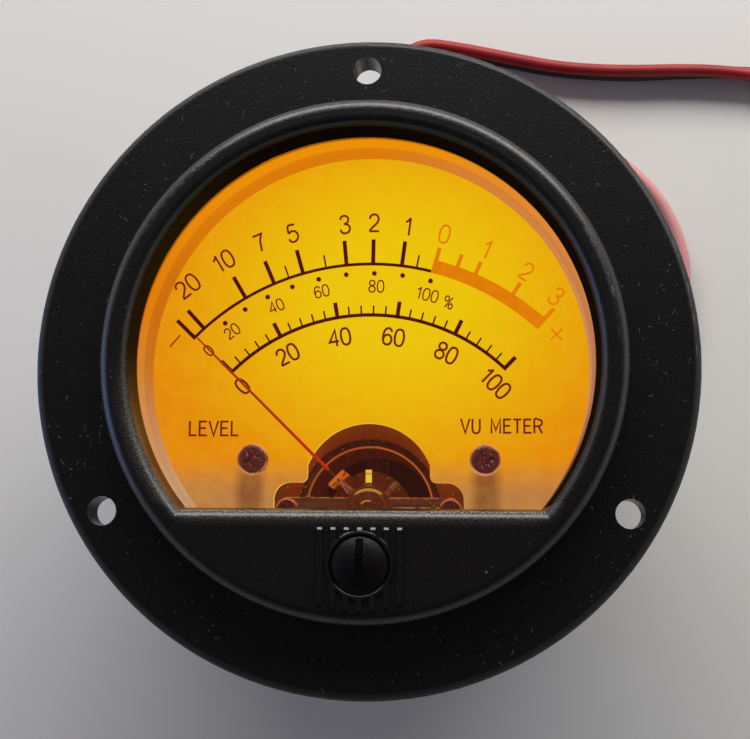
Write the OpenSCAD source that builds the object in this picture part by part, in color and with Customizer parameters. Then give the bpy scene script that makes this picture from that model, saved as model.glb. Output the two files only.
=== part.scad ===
// Round flanged panel meter with a back-lit dial and a core-magnet moving-coil movement.
// The meter lies on its back: the dial faces +Z, the dial's top is +Y, the table is z = 0.

/* [Flange and rim] */
// Outer diameter of the flange
flange_d = 80; // [78:0.5:90]
// Thickness of the flange
flange_t = 4.9; // [4:0.1:6]
// Rounding of the flange's front edge
flange_round = 0.7; // [0.2:0.1:1.5]
// Diameter of the raised rim around the window
rim_d = 62.4; // [61.4:0.2:65]
// Height of the raised rim above the flange
rim_h = 5; // [4.2:0.1:7]
// Rounding of the rim's outer edge
rim_round = 1.5; // [0.5:0.1:2]
// Diameter of the spigot behind the flange that the case fits over
spigot_d = 60.4; // [60:0.1:60.6]
// Length of the spigot behind the flange
spigot_len = 4.1; // [3.4:0.1:4.6]
// Bore of the bezel that takes the lens and the light frame
bezel_bore_d = 59; // [58.6:0.1:59.2]

/* [Window] */
// Diameter of the window at its lip
window_d = 54.95; // [52:0.05:55.2]
// Distance from the centre down to the window's straight edge
window_drop = 17.65; // [17:0.05:18.4]
// Height of the window's lip above the flange's front
lip_rise = 0.6; // [0.4:0.05:0.8]
// Lean of the window's wall
window_draft_deg = 6; // [2:1:8]
// Rounding of the window's upper edge
window_round = 1.2; // [0.5:0.1:1.4]
// Thickness of the window lens
lens_t = 1.5; // [1:0.1:2]
// Overlap of the lens beyond the window's straight edge
lens_lap = 2.6; // [1.5:0.1:2.8]
// Gap between the lens or the dial and the bore around it
seat_gap = 0.2; // [0.1:0.05:0.3]

/* [Panel fixing] */
// Distance of the panel screw holes from the flange's edge
hole_inset = 3.85; // [3.5:0.05:4.5]
// Diameter of the panel screw holes
panel_hole_d = 3.5; // [3:0.1:4]
// Number of panel screw holes
panel_holes = 3; // [3:1:4]

/* [Grip ribs] */
// Number of ribs behind the zero adjuster
rib_count = 7; // [5:2:7]
// Distance between neighbouring ribs
rib_pitch = 1.53; // [1.2:0.01:1.6]
// Width of a rib
rib_w = 0.65; // [0.4:0.05:0.8]
// Height of a rib above the rim's face
rib_h = 0.3; // [0.2:0.05:0.5]
// Distance from the centre down to the ribs' upper ends
rib_top_drop = 20; // [19.6:0.1:20.2]
// Distance from the centre down to the lowest rib's end
rib_end_drop = 29.4; // [29:0.1:29.6]
// Radius of the arc along which the ribs end
rib_arc_r = 14.5; // [12:0.5:20]

/* [Zero adjuster] */
// Distance from the centre down to the zero adjuster
adjuster_drop = 24.25; // [24:0.05:24.5]
// Diameter of the adjuster's cap
cap_d = 6.8; // [6:0.1:7]
// Height of the cap's dome above the rim's face
cap_rise = 0.9; // [0.6:0.05:1.2]
// Depth of the cap's seat below the rim's face
cap_seat = 1.4; // [1:0.1:1.6]
// Width of the collar around the cap
collar_w = 0.35; // [0.25:0.05:0.6]
// Width of the screwdriver slot
slot_w = 0.9; // [0.6:0.05:1.2]
// Depth of the screwdriver slot
slot_depth = 0.7; // [0.4:0.05:1]
// Diameter of the adjuster's shaft
adjuster_shaft_d = 3.2; // [2.8:0.1:3.4]
// Offset of the eccentric pin from the adjuster's axis
eccentric = 1.1; // [0.8:0.05:1.1]
// Diameter of the eccentric pin
eccentric_d = 0.9; // [0.7:0.05:1]
// Gap around the cap and between the pin and the fork
adjuster_gap = 0.12; // [0.12:0.01:0.15]
// Running gap around the adjuster's shaft
shaft_gap = 0.05; // [0.03:0.01:0.08]

/* [Dial] */
// Depth of the dial's face behind the flange's front
dial_depth = 8.9; // [8.7:0.1:9.2]
// Thickness of the dial plate
dial_t = 0.8; // [0.6:0.1:1]
// Thickness of the printing on the dial
print_t = 0.12; // [0.1:0.01:0.2]
// Distance between the two dial screws
dial_screw_span = 29; // [28.6:0.1:29.4]
// Distance from the centre down to the dial screws
dial_screw_drop = 11.2; // [10.8:0.1:11.4]
// Diameter of the dial screws' heads
dial_head_d = 3.9; // [3.4:0.1:4.2]
// Height of the dial screws' heads
dial_head_h = 1.3; // [0.9:0.1:1.5]
// Bore of the white frame between lens and dial
light_frame_d = 55; // [54.8:0.1:55.6]
// Depth of the step inside the light frame
frame_step = 0.35; // [0.2:0.05:0.5]
// Height of the light frame's narrower part above the dial
frame_step_h = 3.6; // [2:0.1:5]

/* [Scales] */
// Distance from the centre down to the pointer's axis
pivot_drop = 17.35; // [17.2:0.05:17.5]
// Inner radius of the percent scale's arc
inner_arc_r = 24.3; // [23:0.05:24.6]
// Inner radius of the decibel scale's arc
outer_arc_r = 30.9; // [30.3:0.05:31.2]
// Width of the percent scale's arc
arc_w = 0.42; // [0.3:0.02:0.6]
// Width of the decibel scale's arc
outer_arc_w = 0.36; // [0.3:0.02:0.6]
// Width of the red zone's band
red_band_w = 1.7; // [1.2:0.05:1.9]
// Reach of the decibel scale's long ticks beyond the arc's inner radius
long_tick = 3.35; // [2.4:0.05:3.5]
// Reach of the decibel scale's short ticks
short_tick = 1.85; // [1.4:0.05:2]
// Reach of the percent scale's long ticks
long_inner_tick = 2.15; // [1.6:0.05:2.3]
// Reach of the percent scale's short ticks
short_inner_tick = 1.4; // [1.1:0.05:1.5]
// Width of a long tick
long_tick_w = 0.5; // [0.4:0.05:0.6]
// Width of a short tick
short_tick_w = 0.2; // [0.15:0.05:0.3]
// Radius of the row of dots below the decibel scale
dot_row_r = 29.85; // [29.2:0.05:30.1]
// Diameter of a dot
dot_d = 0.6; // [0.4:0.05:0.7]
// Direction of the percent scale's zero
scale_zero_deg = 135.3; // [130:0.1:136]
// Sweep of the percent scale
scale_sweep_deg = 89.1; // [80:0.1:92]
// Direction of full reference level in the row of dots
zero_db_deg = 75.15; // [70:0.05:80]
// Turn of the pointer for full reference level
level_turn_deg = 69.3; // [64:0.1:70]
// Lag of the pointer at the scale's low end
low_end_lag_deg = 6; // [4:0.1:8]

/* [Case] */
// Depth of the meter from the flange's front to the case's rear edge
body_depth = 40; // [40:0.5:48]
// Outer diameter of the case
case_d = 63.8; // [63.6:0.1:64.4]
// Depth of the recess behind the flange that takes the case's edge
case_seat = 0.3; // [0.2:0.05:0.5]
// Thickness of the case's side wall
case_wall = 1.6; // [1.5:0.1:1.7]
// Thickness of the case's rear wall
rear_wall = 2; // [1.6:0.1:2.2]
// Depth of the recess behind the rear wall
terminal_recess = 6.5; // [6.5:0.1:7]
// Width of the notch that lets the lead out
notch_w = 6; // [5.6:0.1:7]
// Height of the notch
notch_h = 3.9; // [3.6:0.1:4]
// Direction of the notch
notch_deg = 348; // [346:0.5:349]
// Radius of the three case screws' circle
case_screw_r = 23; // [22.5:0.1:23.5]
// Diameter of the bosses that the case screws hold
boss_d = 5.2; // [4.6:0.1:5.6]

/* [Light box] */
// Wall thickness of the light box
box_wall = 1.6; // [1.2:0.1:1.8]
// Room between the case's rear wall and the light box
box_room = 7.6; // [7.2:0.1:9]
// Thickness of the light box's floor
box_floor = 1.2; // [1:0.1:1.6]
// Radius of the bay that the light box leaves for the movement
bay_r = 13; // [12.8:0.1:13.2]
// Thickness of the lamp board
board_t = 1.6; // [1:0.1:1.6]
// Number of lamps
led_count = 5; // [3:1:6]
// Radius of the circle the lamps stand on
led_r = 17; // [14:0.5:20]

/* [Movement] */
// Depth of the yoke's front face behind the flange's front
yoke_depth = 11.2; // [11.1:0.1:11.6]
// Room between the yoke and the case's rear wall
rear_room = 3.1; // [2.9:0.1:3.4]
// Outer diameter of the yoke
yoke_d = 25; // [24.6:0.1:25.2]
// Bore of the yoke
yoke_bore_d = 15.6; // [15.4:0.1:15.8]
// Diameter of the step in the yoke's front face
yoke_step_d = 17.8; // [17.6:0.1:18]
// Depth of that step
yoke_step = 0.7; // [0.4:0.1:1]
// Chamfer of the bore's front edge
bore_chamfer = 0.35; // [0.2:0.05:0.5]
// Diameter of the core magnet
core_d = 10.2; // [9.6:0.1:10.4]
// Distance of the core magnet's ends from the yoke's ends
core_setback = 3; // [2.9:0.1:3.4]
// Distance of the bridge screws from the pointer's axis
bridge_screw_r = 10.2; // [10.1:0.05:10.3]
// Width of the bridges
bridge_w = 3.1; // [3:0.05:3.2]
// Thickness of the bridges
bridge_t = 0.9; // [0.8:0.05:1]
// Gap between the bridges and the yoke
bridge_lift = 0.5; // [0.45:0.05:0.7]
// Diameter of the jewel screws
jewel_screw_d = 2.4; // [2.2:0.1:2.6]
// Diameter of the pivots
pivot_d = 0.6; // [0.5:0.05:0.7]
// Running gap around the pivots and around the zero lever
pivot_gap = 0.05; // [0.03:0.01:0.08]

/* [Moving coil and pointer] */
// Direction of the pointer at rest
rest_deg = 135.4; // [134:0.1:136]
// Length of the pointer from its axis
pointer_len = 30.2; // [28:0.1:30.6]
// Diameter of the pointer where it is thickest
pointer_d = 0.44; // [0.3:0.02:0.5]
// Diameter of the pointer's neck
pointer_neck_d = 0.26; // [0.2:0.02:0.3]
// Diameter of the pointer's tip
pointer_tip_d = 0.22; // [0.16:0.02:0.26]
// Height of the pointer's axis above the dial
pointer_lift = 2.5; // [2.3:0.1:3]
// Distance of the upright tab from the pointer's axis
tab_r = 5.3; // [5.25:0.05:5.6]
// Width of the upright tab
tab_w = 2.6; // [2:0.1:3]
// Gap between the core and the coil
core_gap = 0.2; // [0.15:0.05:0.4]
// Width of the coil
coil_w = 2.6; // [2.2:0.1:2.8]
// Thickness of the winding
winding_t = 0.5; // [0.4:0.05:0.8]
// Thickness of the coil's former
former_t = 0.25; // [0.2:0.05:0.35]
// Number of turns of a hairspring
hairspring_turns = 3; // [2:1:4]
// Thickness of a hairspring
hairspring_t = 0.12; // [0.1:0.01:0.14]

/* [Terminals and lead] */
// Distance between the two terminal studs
terminal_span = 30; // [29:0.5:31]
// Distance from the centre down to the terminal studs
terminal_drop = 4; // [3.5:0.1:4.5]
// Diameter of the terminal studs
stud_d = 4; // [3.5:0.1:4]
// Thickness of the brass connecting straps
strap_t = 0.5; // [0.4:0.05:0.6]
// Diameter of each insulated wire of the lead
wire_d = 1.8; // [1.6:0.05:1.8]
// Diameter of the wire's bare end
bare_d = 0.8; // [0.6:0.05:1]
// Length of the wire's bare end
bare_len = 6; // [4:0.5:8]

/* [Hidden] */
$fn = 64;
eps = 0.01;
face_z = body_depth;
rim_z = face_z + rim_h;
lip_z = face_z + lip_rise;
flange_back_z = face_z - flange_t;
panel_pcd = flange_d - 2 * hole_inset;
dial_z = face_z - dial_depth;
dial_back_z = dial_z - dial_t;
lens_back_z = lip_z - lens_t;
spigot_end_z = flange_back_z - spigot_len;
rear_wall_z = terminal_recess;
rear_inside_z = rear_wall_z + rear_wall;
box_floor_z = rear_inside_z + box_room;
box_h = dial_back_z - box_floor_z;
box_out_r = case_d / 2 - case_wall - seat_gap;
box_in_r = box_out_r - box_wall;
board_z = box_floor_z + box_floor;
pivot_y = -pivot_drop;
adjuster_y = -adjuster_drop;
bore_r = bezel_bore_d / 2;
plate_r = bore_r - seat_gap;
plate_chord_y = -(window_drop + lens_lap);
dial_chord_y = plate_chord_y + 0.7;
yoke_front_z = face_z - yoke_depth;
yoke_back_z = rear_inside_z + rear_room;
yoke_len = yoke_front_z - yoke_back_z;
core_len = yoke_len - 2 * core_setback;
core_play = 0.6;
web_half_deg = 11;
coil_r = core_d / 2 + core_gap + former_t + winding_t;
yoke_mid_z = (yoke_front_z + yoke_back_z) / 2;
front_bridge_z = yoke_front_z + bridge_lift;
bridge_face_z = front_bridge_z + bridge_t;
rear_bridge_z = yoke_back_z - bridge_lift - bridge_t;
coil_mid_z = yoke_mid_z - 0.2;
coil_half = core_len / 2 + core_play + former_t + winding_t;
coil_front_z = coil_mid_z + coil_half;
coil_back_z = coil_mid_z - coil_half;
lever_t = 0.4;
lever_z = bridge_face_z + 0.1;
lever_top_z = lever_z + lever_t;
lock_nut_t = 0.7;
lock_nut_z = lever_top_z + 0.1;
jewel_screw_len = 3.3;
jewel_screw_z = bridge_face_z - bridge_t - 0.45;
rear_jewel_screw_z = rear_bridge_z - 0.5;
rear_jewel_screw_len = 2.4;
jewel_d = 1.5;
jewel_depth = 0.7;
arm_t = 0.45;
arm_z = coil_front_z + 0.5;
spring_h = 0.3;
front_spring_z = arm_z + arm_t + 0.15;
rear_spring_z = coil_back_z - 0.5 - spring_h;
spring_in_r = 0.7;
spring_out_r = 2.7;
pointer_z = dial_z + pointer_lift;
print_lap = 0.03;
pointer_root_r = 2.9;
pointer_fork_r = 4.6;
pointer_fork_w = 0.7;
pointer_leg_d = 0.18;
fork_reach = adjuster_drop - pivot_drop;
clip_t = 0.5;
clip_z = lip_z - clip_t - 0.2;
groove_depth = 0.4;
pillar_d = 4;
pillar_top_z = yoke_back_z - strap_t;
bridge_head_d = 2.8;
bridge_head_h = 0.9;
case_head_d = 4.2;
case_head_h = 1.4;
case_screw_bite = 5;
nut_d = 8.1;
nut_h = 3.2;
washer_d = 9;
washer_t = 0.8;
lug_d = 8;
lug_t = 0.5;
lug_reach = 9;
lug_w = 3;
stud_head_d = 7;
stud_head_h = 2;
board_gap = 0.9;
board_cut_drop = 7.2;
board_bay_gap = 1.4;
chin_skin = 1.2;
screw_d = 1.9;
screw_gap = 0.05;
stud_x = terminal_span / 2;
stud_y = -terminal_drop;
rim_free = 0.5;
grommet_x = 20;
grommet_y = -12;
grommet_hole_d = 5;
bundle_d = 4.1;

// Places of the case screws around the centre
case_screw_degs = [30, 90, 150];
// Directions of the decibel scale's long dark ticks (20, 10, 7, 5, 3, 2, 1), its short dark ones
// and its orange ones
long_mark_degs = [132.8, 120.7, 113.2, 106, 95.6, 89.35, 82.6];
short_mark_degs = [109.5, 100.45, 79.1];
red_mark_degs = [75.6, 70.2, 65.85, 56.4, 47];

// Route of the lead, hand laid: x, y, height of the pair's middle, and lay of the pair
// (0 is side by side, 90 is the red wire on top of the black one)
lead_route = [
    [20, -12, 6.5, 0], [20, -12, 5.8, 0], [20.2, -11.9, 4.3, 0], [20.8, -11.6, 2.9, 0],
    [21.8, -11.1, 1.85, 0], [23, -10.5, 1.15, 0], [24.4, -9.8, 0.95, 0], [27.8, -8.1, 1.3, 20],
    [31.2, -6.1, 1.5, 35],
    [34.6, -3.6, 1.7, 55], [37.6, -0.6, 1.85, 75], [40, 3, 1.85, 90], [41.8, 7, 1.85, 90],
    [43, 11.2, 1.85, 90], [43.6, 15.6, 1.85, 90], [43.6, 20, 1.85, 90], [42.6, 24.2, 1.85, 90],
    [40.8, 28.2, 1.85, 90], [38.2, 31.7, 1.85, 90], [34.8, 34.8, 1.85, 90], [31, 37.4, 1.85, 90],
    [26.6, 39.8, 1.85, 90], [22, 41.8, 1.85, 90], [17, 43.4, 1.85, 90], [11.6, 44.8, 1.85, 90],
    [6.4, 45.6, 1.85, 90], [3.7, 46.7, 1.85, 90], [2.6, 49.4, 1.85, 90], [3.7, 52.1, 1.85, 90],
    [6.4, 53.2, 1.85, 90], [10.6, 52.7, 1.85, 90], [15, 51.8, 1.85, 90], [20, 50.7, 1.85, 90],
    [25.6, 49.6, 1.85, 90], [31.6, 49, 1.85, 90], [37.6, 48.8, 1.85, 90], [43.6, 48.9, 1.85, 95],
    [49.4, 48.8, 1.85, 105], [55, 48.3, 1.75, 120], [60.4, 47.2, 1.55, 140], [65.6, 45.2, 1.3, 160],
    [70.2, 42.2, 0.95, 180], [74, 38.4, 0.95, 180], [77, 34, 0.95, 180]
];
// Direction in which the lead leaves the grommet
lead_start_deg = 26.5;
wire_gap = 0.04;

// ---- helpers ----

// Half section of a disc with its upper outer edge rounded, for rotate_extrude
module round_disc_section(r, h, f) {
    union() {
        square([r - f, h]);
        square([r, h - f]);
        translate([r - f, h - f]) circle(f);
    }
}

// Section of the window: a wall that leans outwards above the lip, then a rounding onto the face
module window_section(reach, back) {
    f = window_round;
    middle_y = rim_h - f;
    middle_x = (f + (middle_y - lip_rise) * sin(window_draft_deg)) / cos(window_draft_deg);
    touch_x = middle_x - f * cos(window_draft_deg);
    touch_y = middle_y + f * sin(window_draft_deg);
    translate([reach, 0]) union() {
        polygon([
            [-reach - back, -1], [0, -1], [0, lip_rise], [touch_x, touch_y],
            [touch_x, rim_h + 1], [-reach - back, rim_h + 1]
        ]);
        difference() {
            translate([touch_x - eps, touch_y]) square([middle_x - touch_x + eps, rim_h + 1 - touch_y]);
            translate([middle_x, middle_y]) circle(f);
        }
    }
}

// Disc with a straight lower edge
module chord_disc(r, chord_y) {
    intersection() {
        circle(r, $fn = 128);
        translate([-r, chord_y]) square([2 * r, 2 * r]);
    }
}

// Ring sector about the pointer's axis
module arc_band(r, w, from_deg, to_deg) {
    far = 2 * (r + w);
    mid = (from_deg + to_deg) / 2;
    intersection() {
        difference() {
            circle(r + w, $fn = 128);
            circle(r, $fn = 128);
        }
        polygon([
            [0, 0], far * [cos(from_deg), sin(from_deg)],
            far * [cos(mid), sin(mid)], far * [cos(to_deg), sin(to_deg)]
        ]);
    }
}

module tick(deg, r, len, w) {
    rotate(deg) translate([r, -w / 2]) square([len, w]);
}

// Angle of a level in the row of dots, level 1 being full reference
function level_deg(p) =
    zero_db_deg + level_turn_deg * (1 - p) - (p < 1 ? low_end_lag_deg * pow(1 - p, 4) : 0);

// Strip between two points, with round ends
module strip(a, b, w) {
    d = b - a;
    translate(a) rotate(atan2(d[1], d[0])) translate([0, -w / 2]) square([norm(d), w]);
    translate(a) circle(w / 2);
    translate(b) circle(w / 2);
}

// Slotted head: a disc with rounded edge and a slot
module slotted_head(d, h, slot) {
    difference() {
        rotate_extrude() intersection() {
            round_disc_section(d / 2, h, h * 0.45);
            square([d, h]);
        }
        translate([-d, -slot / 2, h * 0.5]) cube([2 * d, slot, h]);
    }
}

// Cross-recessed pan head
module cross_head(d, h) {
    difference() {
        rotate_extrude() intersection() {
            round_disc_section(d / 2, h, h * 0.55);
            square([d, h]);
        }
        for (a = [0, 90]) rotate(a + 20) translate([-d * 0.3, -d * 0.07, h * 0.35])
            cube([d * 0.6, d * 0.14, h]);
    }
}

// Flat spiral spring between two radii
module spiral(turns, r_in, r_out, t, h) {
    steps = 20 * turns;
    rr = [for (i = [0:steps]) r_in + (r_out - r_in) * i / steps];
    outer = [for (i = [0:steps]) (rr[i] + t / 2) * [cos(18 * i), sin(18 * i)]];
    inner = [for (i = [steps:-1:0]) (rr[i] - t / 2) * [cos(18 * i), sin(18 * i)]];
    linear_extrude(height = h) polygon(concat(outer, inner));
}

// Eight-sided tube swept along a route
module route_tube(route, r) {
    n = len(route);
    sides = 8;
    function dir(i) = let (d = route[min(i + 1, n - 1)] - route[max(i - 1, 0)]) d / norm(d);
    function side(i) =
        let (d = dir(i), s = abs(d[2]) > 0.95 ? cross([0.87, 0.5, 0], d) : cross([0, 0, 1], d))
        s / norm(s);
    function up(i) = cross(dir(i), side(i));
    points = [for (i = [0:n - 1]) for (k = [0:sides - 1])
        let (a = 360 * (k + 0.5) / sides) route[i] + r * (cos(a) * side(i) + sin(a) * up(i))];
    walls = [for (i = [0:n - 2]) for (k = [0:sides - 1])
        let (k2 = (k + 1) % sides)
        [(i + 1) * sides + k, (i + 1) * sides + k2, i * sides + k2, i * sides + k]];
    first = [for (k = [0:sides - 1]) k];
    last = [for (k = [sides - 1:-1:0]) (n - 1) * sides + k];
    polyhedron(points, concat([first, last], walls));
}

// ---- bezel, window and dial ----

module panel_hole_places() {
    for (i = [0:panel_holes - 1]) rotate(90 + 360 * i / panel_holes) translate([panel_pcd / 2, 0])
        children();
}

module bezel_body() {
    snap_r = spigot_d / 2 + 0.1;
    rotate_extrude($fn = 128) union() {
        translate([0, flange_back_z]) round_disc_section(flange_d / 2, flange_t, flange_round);
        translate([0, face_z - eps]) round_disc_section(rim_d / 2, rim_h + eps, rim_round);
        translate([0, spigot_end_z]) square([spigot_d / 2, spigot_len + eps]);
        translate([snap_r, spigot_end_z + 1.6]) circle(0.35, $fn = 24);
    }
}

module window_opening() {
    translate([0, 0, face_z]) intersection() {
        rotate_extrude($fn = 128) intersection() {
            window_section(window_d / 2, 0);
            square([flange_d, 3 * rim_h]);
        }
        rotate([90, 0, -90]) linear_extrude(height = flange_d, center = true)
            window_section(window_drop, window_d);
    }
}

module ribs() {
    translate([0, 0, rim_z - eps]) linear_extrude(height = rib_h + eps) intersection() {
        for (i = [0:rib_count - 1])
            translate([(i - (rib_count - 1) / 2) * rib_pitch - rib_w / 2, -rib_end_drop])
                square([rib_w, rib_arc_r]);
        translate([-rim_d / 2, -rib_top_drop - rim_d]) square([rim_d, rim_d]);
        translate([0, rib_arc_r - rib_end_drop]) circle(rib_arc_r, $fn = 96);
    }
}

// Hollow under the face below the window, with a boss around the adjuster's shaft
module chin_hollow() {
    hollow_y = plate_chord_y - 0.5;
    hollow_h = rim_h - lip_rise - cap_seat - chin_skin;
    translate([0, 0, lip_z - eps]) linear_extrude(height = hollow_h + eps) difference() {
        intersection() {
            circle(rim_d / 2 - 1.8, $fn = 128);
            translate([-rim_d / 2, hollow_y - rim_d]) square([rim_d, rim_d]);
        }
        translate([0, adjuster_y]) circle(adjuster_shaft_d / 2 + 1.2);
    }
}

module front_bezel() {
    cap_hole_r = cap_d / 2 + adjuster_gap;
    color([0.07, 0.07, 0.08]) difference() {
        union() {
            bezel_body();
            ribs();
            translate([0, adjuster_y, rim_z - eps]) cylinder(h = rib_h + eps, r = cap_hole_r + collar_w);
        }
        window_opening();
        translate([0, 0, spigot_end_z - 1]) cylinder(h = lip_z - spigot_end_z + 1, r = bore_r, $fn = 128);
        translate([0, 0, flange_back_z - case_seat]) difference() {
            cylinder(h = 2 * case_seat, r = case_d / 2 + seat_gap, $fn = 128);
            translate([0, 0, -case_seat]) cylinder(h = 4 * case_seat, d = spigot_d, $fn = 128);
        }
        chin_hollow();
        panel_hole_places() translate([0, 0, flange_back_z - 1])
            cylinder(h = flange_t + 2, d = panel_hole_d);
        translate([0, adjuster_y, rim_z - cap_seat]) cylinder(h = cap_seat + 1, r = cap_hole_r);
        translate([0, adjuster_y, face_z - 1]) cylinder(h = rim_h + 1, d = adjuster_shaft_d + 2 * shaft_gap);
    }
}

module window_lens() {
    color([0.95, 0.95, 0.95, 0.25]) translate([0, 0, lens_back_z]) linear_extrude(height = lens_t)
        chord_disc(plate_r, plate_chord_y);
}

module light_frame() {
    step_z = dial_z + frame_step_h;
    in_r = light_frame_d / 2;
    color([0.98, 0.62, 0.1]) difference() {
        translate([0, 0, dial_z]) linear_extrude(height = lens_back_z - dial_z)
            chord_disc(plate_r, dial_chord_y);
        translate([0, 0, dial_z - 1]) cylinder(h = dial_depth + 2, r = in_r, $fn = 128);
        translate([0, 0, step_z]) cylinder(h = dial_depth, r = in_r + frame_step, $fn = 128);
    }
}

// Arch over the movement with a wider foot, rounded where they meet
module dial_cutout() {
    arch_r = 8.2;
    arch_y = pivot_y + 2.55;
    half_w = 7.65;
    foot_w = 11.85;
    foot_y = pivot_y + 3.35;
    foot_round = 2.1;
    corner = 0.8;
    intersection() {
        translate([0, arch_y]) circle(arch_r, $fn = 96);
        translate([-half_w, arch_y]) square([2 * half_w, arch_r]);
    }
    translate([-half_w, dial_chord_y - 1]) square([2 * half_w, arch_y - dial_chord_y + 1 + eps]);
    translate([-foot_w, dial_chord_y - 1]) square([2 * foot_w, foot_y - foot_round - dial_chord_y + 1]);
    translate([foot_round - foot_w, dial_chord_y])
        square([2 * (foot_w - foot_round), foot_y - dial_chord_y]);
    for (s = [-1, 1]) {
        translate([s * (foot_w - foot_round), foot_y - foot_round]) circle(foot_round);
        difference() {
            translate([s > 0 ? half_w - eps : -half_w - corner, foot_y - eps])
                square([corner + eps, corner + eps]);
            translate([s * (half_w + corner), foot_y + corner]) circle(corner);
        }
    }
}

module dial_screw_places() {
    for (s = [-1, 1]) translate([s * dial_screw_span / 2, -dial_screw_drop, 0]) children();
}

module dial_plate() {
    color([1, 0.76, 0.1]) difference() {
        translate([0, 0, dial_back_z]) linear_extrude(height = dial_t) difference() {
            chord_disc(plate_r, dial_chord_y);
            dial_cutout();
        }
        dial_screw_places() translate([0, 0, dial_back_z - 1]) cylinder(h = dial_t + 2, d = screw_d + 0.2);
    }
}

module scale_marks() {
    step_deg = scale_sweep_deg / 25;
    color([0.25, 0.09, 0.04]) translate([0, pivot_y, dial_z]) linear_extrude(height = print_t) {
        arc_band(inner_arc_r, arc_w, scale_zero_deg - scale_sweep_deg, scale_zero_deg);
        for (i = [0:25]) {
            long = i % 5 == 0;
            tick(scale_zero_deg - i * step_deg, inner_arc_r + eps,
                long ? long_inner_tick : short_inner_tick, long ? long_tick_w : short_tick_w);
        }
        arc_band(outer_arc_r, outer_arc_w, red_mark_degs[0] + 0.02, scale_zero_deg + 0.6);
        for (a = long_mark_degs) tick(a, outer_arc_r + eps, long_tick, long_tick_w);
        tick(scale_zero_deg + 0.6, outer_arc_r + eps, long_tick, long_tick_w);
        for (a = short_mark_degs) tick(a, outer_arc_r + eps, short_tick, short_tick_w);
        for (p = [20:10:100]) rotate(level_deg(p / 100)) translate([dot_row_r, 0])
            circle(d = dot_d, $fn = 24);
    }
}

module red_zone() {
    color([0.9, 0.45, 0.02]) translate([0, pivot_y, dial_z]) linear_extrude(height = print_t) {
        last = len(red_mark_degs) - 1;
        arc_band(outer_arc_r, red_band_w, red_mark_degs[last], red_mark_degs[0]);
        for (i = [0:last]) {
            lean = i == 0 ? -1 : i == last ? 1 : 0;
            side = (lean - 1) * long_tick_w / 2 + lean * print_lap;
            rotate(red_mark_degs[i]) translate([outer_arc_r + eps, side]) square([long_tick, long_tick_w]);
        }
    }
}

module dial_screws() {
    color([0.75, 0.72, 0.68]) dial_screw_places() {
        translate([0, 0, dial_z]) cross_head(dial_head_d, dial_head_h);
        translate([0, 0, dial_back_z - 5]) cylinder(h = 5 + dial_t + eps, d = screw_d - 0.1);
    }
}

// ---- light box and lamps ----

module case_screw_places() {
    for (a = case_screw_degs) rotate(a) translate([case_screw_r, 0, 0]) children();
}

module light_box() {
    out_r = box_out_r;
    color([0.95, 0.95, 0.93]) difference() {
        union() {
            difference() {
                translate([0, 0, box_floor_z]) cylinder(h = box_h, r = out_r, $fn = 128);
                translate([0, 0, board_z]) cylinder(h = box_h, r = box_in_r, $fn = 128);
                translate([0, pivot_y, box_floor_z - 1]) cylinder(h = box_h + 2, r = bay_r, $fn = 96);
            }
            dial_screw_places() translate([0, 0, board_z - eps])
                cylinder(h = box_h - box_floor + eps, d = 4.6);
            case_screw_places() translate([0, 0, rear_inside_z])
                cylinder(h = box_floor_z - rear_inside_z + eps, d = boss_d);
        }
        dial_screw_places() translate([0, 0, board_z + 4]) cylinder(h = box_h, d = screw_d);
        case_screw_places() translate([0, 0, rear_inside_z - 1]) cylinder(h = 7, d = screw_d);
        translate([grommet_x, grommet_y, box_floor_z - 1]) cylinder(h = box_floor + 2, d = bundle_d);
    }
}

// Places of the lamps on the upper half of the board
module lamp_places() {
    for (i = [0:led_count - 1]) rotate(20 + 140 * i / (led_count - 1)) translate([led_r, 0, 0]) children();
}

module lamp_board() {
    color([0.9, 0.93, 0.9]) translate([0, 0, board_z]) linear_extrude(height = board_t) difference() {
        circle(box_in_r - board_gap, $fn = 128);
        translate([0, pivot_y]) circle(bay_r + board_bay_gap, $fn = 96);
        translate([-box_out_r, -board_cut_drop - 2 * box_out_r]) square(2 * box_out_r);
    }
}

module lamps() {
    color([1, 0.95, 0.7]) lamp_places() translate([-1.4, -1.75, board_z + board_t]) {
        cube([2.8, 3.5, 1.2]);
        translate([1.4, 1.75, 1.2]) cylinder(h = 0.5, r1 = 1.2, r2 = 0.9, $fn = 32);
    }
}

module lamp_resistor() {
    color([0.1, 0.1, 0.1]) translate([-1.6, 8, board_z + board_t]) cube([3.2, 1.6, 0.55]);
}

// Short wires from the lamp board down to the grommet, where the lead carries on
module lamp_wires() {
    wire_r = 0.6;
    top_z = board_z + board_t + wire_r;
    run = 5.6;
    color([0.7, 0.1, 0.1]) for (s = [-1, 1])
        translate([grommet_x, grommet_y, 0] + s * wire_offset(lead_start_deg, 0)) {
            translate([0, 0, rear_wall_z]) cylinder(h = top_z - rear_wall_z, r = wire_r, $fn = 24);
            translate([0, 0, top_z]) sphere(wire_r, $fn = 24);
            translate([0, 0, top_z]) rotate([-90, 0, 0]) cylinder(h = run, r = wire_r, $fn = 24);
        }
}

// ---- case ----

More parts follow.
